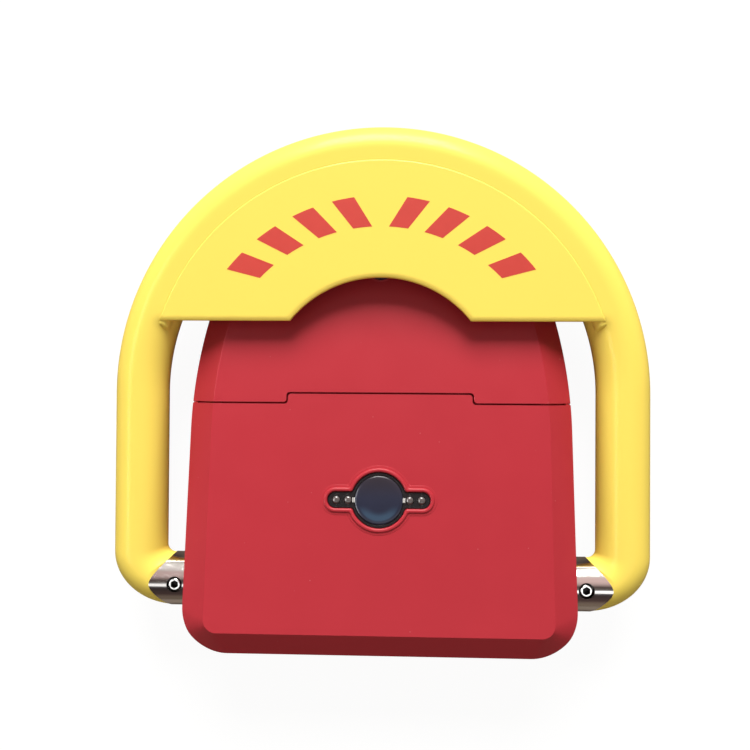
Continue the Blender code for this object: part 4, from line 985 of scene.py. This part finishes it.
    def front_cover(self) -> Piece:
        """Make the main cover with its window hole and the slots for the sleeves."""
        cover, gap = self.shell("front_cover_skin"), self.seam_gap / 2
        Bench.combine(cover, self.behind_seam(-gap))
        for side in Side:
            ends = sorted((side.value * self.ledge_half_w, side.value * (self.tongue_half_w - self.wall)))
            Bench.combine(cover, self.ledge(*ends, self.seam_y - gap), "UNION")
        half = self.tongue_half_w - gap - self.wall / 2
        Bench.combine(cover, self.ledge(-half, half, self.tongue_y - gap), "UNION")
        Bench.combine(cover, self.lips(), "UNION")
        window = Window()
        hole = [(window.rim_w / 2, high) for high in (-self.window_deep, self.window_deep)]
        Bench.combine(cover, window.prism("tool", hole))
        low = asin(self.slot_half / self.slot_r) - pi / 2
        slot = arc(0, self.axis_z, self.slot_r, low, pi - low, self.slot_steps)
        slot = [(self.slot_half, 0.0)] + slot + [(-self.slot_half, 0.0)]
        far = self.half_w + self.wall
        for side in Side:
            rings = [[(side.value * x, y, z) for y, z in slot] for x in (far - 4 * self.wall, far)]
            Bench.combine(cover, Bench.loft("tool", rings))
        return Bench.soften(cover, self.edge_round, 3, 20)

    def lid(self) -> Piece:
        """Make the battery lid with the pad for its lock."""
        lid = self.shell("battery_lid_skin")
        Bench.combine(lid, self.behind_seam(self.seam_gap / 2), "INTERSECT")
        top = self.roof(self.lock_y - self.pad_r) + self.pad_past
        low = self.roof(self.lock_y + self.pad_r) - self.wall - self.pad_past
        centre = (0, self.lock_y, (top + low) / 2)
        Bench.combine(lid, Bench.rod("Z", centre, self.pad_r, top - low), "UNION")
        Bench.combine(lid, Bench.rod("Z", centre, self.lock_hole_r))
        return Bench.soften(lid, self.edge_round, 3, 20)

    def screw(self, side: Side) -> Piece:
        """Make one button-head screw in the front wall."""
        head = [(1.0, 0.0), (1.0, 0.35), (0.93, 0.65), (0.78, 0.88), (0.55, 1.0)]
        profile = [(self.screw_shank_r, -self.screw_l), (self.screw_shank_r, 0.0)]
        profile += [(self.screw_r * wide, self.screw_h * high) for wide, high in head]
        piece = Bench.turn(f"front_screw_{side.label}_skin", profile, 64)
        Bench.combine(piece, Bench.rod("Z", (0, 0, self.screw_h), self.screw_hex_r, 2 * self.screw_hex_h, 6))
        lay = Matrix.Translation((side.value * self.screw_x, self.front_y - self.seat, self.screw_z))
        piece.data.transform(lay @ Matrix.Rotation(pi / 2, 4, "X"))
        return Bench.soften(piece, self.screw_round, 2, 40)

    def build(self) -> None:
        """Make and dress the shell and its screws."""
        Bench.deliver(self.front_cover(), RED, Body.HOUSING, "front_cover")
        Bench.deliver(self.lid(), RED, Body.HOUSING, "battery_lid")
        for side in Side:
            Bench.deliver(self.screw(side), ZINC, Body.HOUSING, f"front_screw_{side.label}")


@dataclass
class Window(Assembly):
    """The raised rim in the roof and the dark insert under it. Heights are over the roof."""

    disc_hole_r: float = 0.0231
    half_l: float = 0.0429
    half_w: float = 0.0069
    fillet: float = 0.0022
    corner_steps: int = 12
    rim_w: float = 0.0034
    rim_rise: float = 0.0017
    rim_round: float = 0.0014
    rim_low: float = -0.0055
    rim_foot: float = -0.0002
    rim_steps: int = 6
    plinth_w: float = 0.0022
    plinth_rise: float = 0.0003
    tray_top: float = -0.0005
    tray_low: float = -0.0058
    tray_edge: float = 0.0004
    tray_round: float = 0.00012
    pocket_deep: float = 0.003
    disc_r: float = 0.0200
    disc_low: float = -0.0028
    disc_side: float = -0.0006
    disc_edge: float = -0.0002
    disc_edge_w: float = 0.0003
    disc_brow: float = 0.0001
    disc_brow_w: float = 0.0016
    disc_dome: float = 0.0008
    lamp_r: float = 0.0032
    lamp_x: tuple[float, ...] = (-0.0355, -0.0256, 0.0256, 0.0355)
    lamp_top: float = 0.0011
    lamp_low: float = -0.0073
    lamp_flange: float = -0.0061
    lamp_flange_w: float = 0.0008
    lamp_steps: int = 6
    lamp_flat: float = 0.4
    collar_w: float = 0.0008
    collar_rise: float = 0.0004
    collar_h: float = 0.002
    rib_w: float = 0.0004
    rib_h: float = 0.0018
    hair: float = 0.0001
    clip_w: float = 0.0007
    clip_gap: float = 0.0005
    clip_l: float = 0.0040
    clip_rise: float = 0.0012

    @property
    def place(self) -> Matrix:
        """The window's frame: u along X, v up the slope, w outwards."""
        tilt = Matrix.Rotation(-self.roof_angle, 4, "X")
        return Matrix.Translation((0, WINDOW_Y, self.roof(WINDOW_Y))) @ tilt

    def outline(self, out: float) -> Plan:
        """Return the outline of the disc with its two wings, drawn out by a distance."""
        big, small = self.disc_hole_r + out, self.half_w + out
        turn, steps = self.fillet, self.corner_steps
        x = sqrt((big + turn) ** 2 - (small + turn) ** 2)
        tilt = asin((small + turn) / (big + turn))
        join = arc(x, small + turn, turn, -pi / 2, -pi + tilt, steps)
        half = arc(self.half_l - self.half_w, 0, small, -pi / 2, pi / 2, 2 * steps) + join
        half += arc(0, 0, big, tilt, pi - tilt, 4 * steps)[1:-1] + [(-u, v) for u, v in reversed(join)]
        return half + [(-u, -v) for u, v in half]

    def prism(self, name: str, section: Iterable[tuple[float, float]], closed: bool = False) -> Piece:
        """Skin a solid through outlines, each drawn out by a distance at a height."""
        place = self.place
        rings = [[place @ Vector((u, v, high)) for u, v in self.outline(out)] for out, high in section]
        return Bench.loft(name, rings, closed=closed)

    def rim(self) -> Piece:
        """Make the raised rim: rounded at both edges, on a low plinth."""
        turn, half, foot, rise = self.rim_round, self.rim_w / 2, self.rim_w + self.plinth_w, self.plinth_rise
        section = [(0, self.rim_low), (half, self.rim_low), (half, self.rim_foot), (foot, self.rim_foot),
                   (foot - rise / 3, rise / 2), (foot - rise, rise), (self.rim_w, rise)]
        section += arc(self.rim_w - turn, self.rim_rise - turn, turn, 0, pi / 2, self.rim_steps)
        section += arc(turn, self.rim_rise - turn, turn, pi / 2, pi, self.rim_steps)
        return Bench.soften(self.prism("window_rim", section, closed=True))

    def tray(self) -> Piece:
        """Make the black insert with its pocket for the disc and its lamp holes."""
        gap, edge = -self.seat, self.tray_edge
        tray = self.prism("window_tray_skin", [(gap, self.tray_low), (gap, self.tray_top - edge),
                                               (gap - edge, self.tray_top)])
        pocket = Bench.rod("Z", (0, 0, 0), self.disc_r + 2 * self.seat, 2 * self.pocket_deep)
        pocket.data.transform(self.place)
        Bench.combine(tray, pocket)
        top, deep = self.tray_top + self.collar_rise, self.collar_h
        reach, half, bore = self.half_w - self.collar_w, self.rib_w / 2, self.lamp_r + self.seat
        for x in self.lamp_x:
            hole = Bench.rod("Z", (x, 0, 0), bore, sides=64)
            collar = Bench.rod("Z", (x, 0, top - deep / 2), self.lamp_r + self.collar_w, deep, 48)
            rib = Bench.block((x - half, -reach, top - self.rib_h), (x + half, reach, top - self.hair))
            Bench.combine(collar, rib, "UNION")
            Bench.combine(collar, Bench.rod("Z", (x, 0, 0), bore + self.hair, sides=60))
            for tool, operation in ((hole, "DIFFERENCE"), (collar, "UNION")):
                tool.data.transform(self.place)
                Bench.combine(tray, tool, operation)
        return Bench.soften(tray, self.tray_round)

    def clip(self, side: Side) -> Piece:
        """Make one of the two small double-bladed clips that hold the disc's edge."""
        low, high, half = self.tray_top - self.clip_rise, self.tray_top + self.clip_rise, self.clip_l / 2
        piece, other = (Bench.block((out, -half, low), (out + self.clip_w, half, high))
                        for out in (self.disc_r, self.disc_r + self.clip_w + self.clip_gap))
        Bench.combine(piece, other, "UNION")
        piece.name = f"disc_clip_{side.label}"
        piece.data.transform(self.place @ Matrix.Rotation(0 if side is Side.RIGHT else pi, 4, "Z"))
        return Bench.soften(piece, self.clip_w / 3, 4, 30)

    def disc(self) -> Piece:
        """Make the dark disc, slightly domed, with a bevelled edge."""
        radius, brow = self.disc_r, self.disc_brow
        profile = [(radius, self.disc_low), (radius, self.disc_side),
                   (radius - self.disc_edge_w, self.disc_edge), (radius - self.disc_brow_w, brow)]
        profile += [(radius * share, brow + self.disc_dome * (1 - share ** 2))
                    for share in (0.85, 0.7, 0.5, 0.3, 0.1)]
        disc = Bench.turn("window_disc_skin", profile, 128)
        disc.data.transform(self.place)
        return Bench.soften(disc)

    def lamp(self, number: int, x: float) -> Piece:
        """Make one clear domed lamp."""
        radius, base, flange = self.lamp_r, self.tray_top, self.lamp_r + self.lamp_flange_w
        profile = [(flange, self.lamp_low), (flange, self.lamp_flange), (radius, self.lamp_flange),
                   (radius, base)]
        for i in range(1, self.lamp_steps + 1):
            spin = pi / 2 * i / (self.lamp_steps + self.lamp_flat)
            profile.append((radius * cos(spin), base + (self.lamp_top - base) * sin(spin)))
        lamp = Bench.turn(f"led_{number}_skin", profile, 48)
        lamp.data.transform(self.place @ Matrix.Translation((x, 0, 0)))
        return Bench.soften(lamp)

    def build(self) -> None:
        """Make and dress the rim and the insert."""
        Bench.deliver(self.rim(), RED, Body.HOUSING)
        Bench.deliver(self.tray(), PLASTIC, Body.HOUSING, "window_tray")
        Bench.deliver(self.disc(), GLASS, Body.HOUSING, "window_disc")
        for side in Side:
            # The clips' pale colour is a painted glint.
            Bench.deliver(self.clip(side), CLIP_PAINTED_GLINT, Body.HOUSING)
        for number, x in enumerate(self.lamp_x, 1):
            Bench.deliver(self.lamp(number, x), LAMP, Body.HOUSING, f"led_{number}")


@dataclass
class LidLock(Assembly):
    """The key lock in the lid: flange and turning barrel."""

    body_r: float = 0.0095
    flange_r: float = 0.012
    flange_t: float = 0.0025
    flange_edge: float = 0.0007
    body_round: float = 0.0003
    barrel_r: float = 0.007
    barrel_edge: float = 0.0004
    barrel_round: float = 0.00015
    tail_r: float = 0.004
    key_l: float = 0.008
    key_w: float = 0.0016
    key_h: float = 0.004

    def turned(self, name: str, profile: Plan, edge: float) -> Piece:
        """Turn a piece on the lock's axis, with a bevel of a given width at the last step's edge."""
        radius, top = profile[-1]
        piece = Bench.turn(name, profile[:-1] + [(radius, top - edge), (radius - edge, top)])
        piece.data.transform(Matrix.Translation((0, self.lock_y, 0)))
        return piece

    def body(self) -> Piece:
        """Make the flanged body, bored for the barrel."""
        low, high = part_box("lock_body")
        seat = high.z - self.flange_t
        profile = [(self.body_r, low.z), (self.body_r, seat), (self.flange_r, seat), (self.flange_r, high.z)]
        piece = self.turned("lock_body_skin", profile, self.flange_edge)
        Bench.combine(piece, Bench.rod("Z", (0, self.lock_y, high.z), self.barrel_r + self.seat))
        return Bench.soften(piece, self.body_round)

    def barrel(self) -> Piece:
        """Make the turning barrel with its key slot."""
        low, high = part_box("lock_body")
        foot, step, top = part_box("lock_barrel")[0].z, low.z - self.seat, high.z
        profile = [(self.tail_r, foot), (self.tail_r, step), (self.barrel_r, step), (self.barrel_r, top)]
        piece = self.turned("lock_barrel_skin", profile, self.barrel_edge)
        half, reach = self.key_w / 2, self.key_l / 2
        Bench.combine(piece, Bench.block((-half, self.lock_y - reach, top - self.key_h),
                                         (half, self.lock_y + reach, top + self.key_h)))
        return Bench.soften(piece, self.barrel_round)

    def build(self) -> None:
        """Make and dress the lock."""
        Bench.deliver(self.body(), DARK_LOCK, Body.HOUSING, "lock_body")
        Bench.deliver(self.barrel(), BRIGHT, Body.PLUG, "lock_barrel")


@dataclass
class Works:
    """CAD nodes that are shown as they are, most of them inside the housing."""

    nodes: dict[str, Piece]
    slots: dict[str, str]

    def build(self) -> None:
        """Give every node that is still shown its finish."""
        for name, node in self.nodes.items():
            if node.hide_render:
                continue
            finish = CARRIED[self.slots[name]]
            if len(node.data.materials):
                node.data.materials[0] = finish.material()
            else:
                node.data.materials.append(finish.material())
            LOG.info("%s keeps its CAD shape: %s", name, finish.slot)


@dataclass
class Studio:
    """Floor, light and camera."""

    camera_at: Point = (0.0163, 0.1713, 0.6557)
    camera_turn: Point = (0.62, 1.97, 0.36)
    lens: float = 33.68
    sensor: float = 36.0
    window_at: Point = (0.0, 5.5, 3.05)
    window_aim: Point = (0.0, 0.12, 0.05)
    window_size: tuple[float, float] = (3.2, 3.3)
    window_power: float = 670.0
    window_colour: Colour = (1.0, 0.985, 0.96)
    floor_size: float = 12.0
    floor_z: float = -0.0002
    floor_glow: float = 0.94
    floor_lit: Colour = (0.09, 0.09, 0.09)
    mirrored_glow: float = 0.03
    mirrored_lit: Colour = (0.26, 0.21, 0.17)
    thrown_back: Colour = (0.08, 0.05, 0.03)
    left_fill: float = 1.8
    right_fill: float = 1.4
    front_fill: float = 0.25
    over_fill: float = 0.75
    least_fill: float = 0.08
    fill_colour: Colour = (1.0, 0.93, 0.82)
    sheen: float = 12.0
    ramp_span: float = 240.0

    def floor(self) -> None:
        """Lay the floor: white to the eye, pale in metal, dark to the light it throws back."""
        bpy.ops.mesh.primitive_plane_add(size=self.floor_size, location=(0, 0, self.floor_z))
        floor = bpy.context.object
        floor.name = "floor"
        made = bpy.data.materials.new("floor")
        nodes = Nodes.blank(made)
        seen, glossy = nodes.rays()
        bright, mirrored = (nodes.result("AddShader", nodes.result("Emission", WHITE, glow),
                                         nodes.result("BsdfDiffuse", (*lit, 1.0)))
                            for glow, lit in ((self.floor_glow, self.floor_lit),
                                              (self.mirrored_glow, self.mirrored_lit)))
        dull = nodes.result("BsdfDiffuse", (*self.thrown_back, 1.0))
        thrown = nodes.result("MixShader", glossy, dull, mirrored)
        nodes.node("OutputMaterial", {}, {"Surface": nodes.result("MixShader", seen, thrown, bright)})
        floor.data.materials.append(made)

    def mirrored_room(self, nodes: Nodes, x: Number, y: Number, z: Number, bearing: Number) -> Socket:
        """Return what shines in the metal: strips by their lean in degrees from overhead to the crest's side.

        Args:
            nodes: The world's tree.
            x: The view's part along X.
            y: Its part along Y.
            z: Its part along Z.
            bearing: Its bearing in degrees from +Y towards +X.

        Returns:
            The colour's socket.
        """
        lean = y.angle_from(z) * (180 / pi)
        stops = [(-100, (0.20, 0.155, 0.11)), (-74, (0.19, 0.14, 0.11)), (-60, (0.08, 0.05, 0.045)),
                 (-35, (0.05, 0.036, 0.036)), (-27, (0.10, 0.09, 0.095)), (-23, (1.0, 1.0, 1.0)),
                 (-14, (1.0, 1.0, 1.0)), (-10, (0.16, 0.14, 0.13)), (2, (0.10, 0.07, 0.065)),
                 (12, (0.50, 0.37, 0.35)), (24, (0.80, 0.58, 0.55)), (38, (0.78, 0.58, 0.55)),
                 (46, (0.82, 0.74, 0.70)), (80, (0.84, 0.80, 0.74)), (94, (0.55, 0.44, 0.36))]
        places = [(at / self.ramp_span + 0.5, colour) for at, colour in stops]
        ramp = nodes.node("ValToRGB", {"stops": places}, {0: lean / self.ramp_span + 0.5})
        strip = lean.within(-25, -22, -15, -12)
        gain = (x * 0.5 + 1.0) * (strip * 0.7 + 1.0) * (1 - (x * x).band(0.18, 0.50) * 0.7)
        shown = nodes.node("VectorMath", {"operation": "SCALE"}, {0: ramp.outputs[0], "Scale": gain})
        sheen = bearing.within(-125, -110, -65, -50) * z.within(0.60, 0.66, 0.76, 0.82) * self.sheen
        return nodes.node("VectorMath", {"operation": "ADD"}, {0: shown.outputs[0], 1: sheen}).outputs[0]

    def sky(self) -> None:
        """Set the surroundings: white to the eye, a room with a window behind the crest to the rest."""
        world = bpy.data.worlds.new("studio")
        bpy.context.scene.world = world
        nodes = Nodes.blank(world)
        seen, glossy = nodes.rays()
        x, y, z = nodes.split(nodes.node("TexCoord").outputs["Generated"])
        bearing = x.angle_from(y) * (180 / pi)
        left, right = bearing.within(-145, -130, -50, -35), bearing.within(35, 50, 130, 145)
        front, over = (0 - y).band(0.5, 0.8), z.band(0.72, 0.86) * (1 - y.band(-0.05, 0.25))
        sides = left * self.left_fill + right * self.right_fill + front * self.front_fill
        soft = sides * z.within(0.0, 0.06, 0.20, 0.34) + over * self.over_fill + self.least_fill
        fill = nodes.result("CombineXYZ", *(soft * part for part in self.fill_colour))
        room = nodes.mix(glossy, fill, self.mirrored_room(nodes, x, y, z, bearing))
        light = nodes.result("Background", nodes.mix(seen, room, WHITE[:3]), 1.0)
        nodes.node("OutputWorld", {}, {"Surface": light})

    def window(self) -> None:
        """Hang the large soft lamp behind the crest."""
        lamp = bpy.data.lights.new("window_light", "AREA")
        lamp.shape = "RECTANGLE"
        lamp.size, lamp.size_y = self.window_size
        lamp.energy = self.window_power
        lamp.color = self.window_colour
        hung = Bench.show("window_light", lamp)
        hung.location = self.window_at
        aim = Vector(self.window_aim) - Vector(self.window_at)
        hung.rotation_euler = aim.to_track_quat("-Z", "Y").to_euler()

    def camera(self) -> None:
        """Set the camera over the object."""
        lens = bpy.data.cameras.new("camera")
        lens.lens = self.lens
        lens.sensor_width = self.sensor
        eye = Bench.show("camera", lens)
        eye.location = self.camera_at
        eye.rotation_euler = tuple(radians(part) for part in self.camera_turn)
        bpy.context.scene.camera = eye

    def build(self) -> None:
        """Set up the floor, the light and the camera."""
        self.floor()
        self.sky()
        self.window()
        self.camera()
        bpy.context.scene.view_settings.view_transform = "Standard"


def main() -> None:
    """Build every sub-assembly, then the studio."""
    logging.basicConfig(level=logging.INFO, format="%(name)s: %(message)s")
    Arm().build()
    for side in Side:
        Pivot(side=side).build()
    Housing().build()
    Window().build()
    LidLock().build()
    slots = {part["node"]: part["material_slot"] for part in frame["record"]["subparts"]}
    Works(frame["nodes"], slots).build()
    Studio().build()


if __name__ == "__main__":
    main()
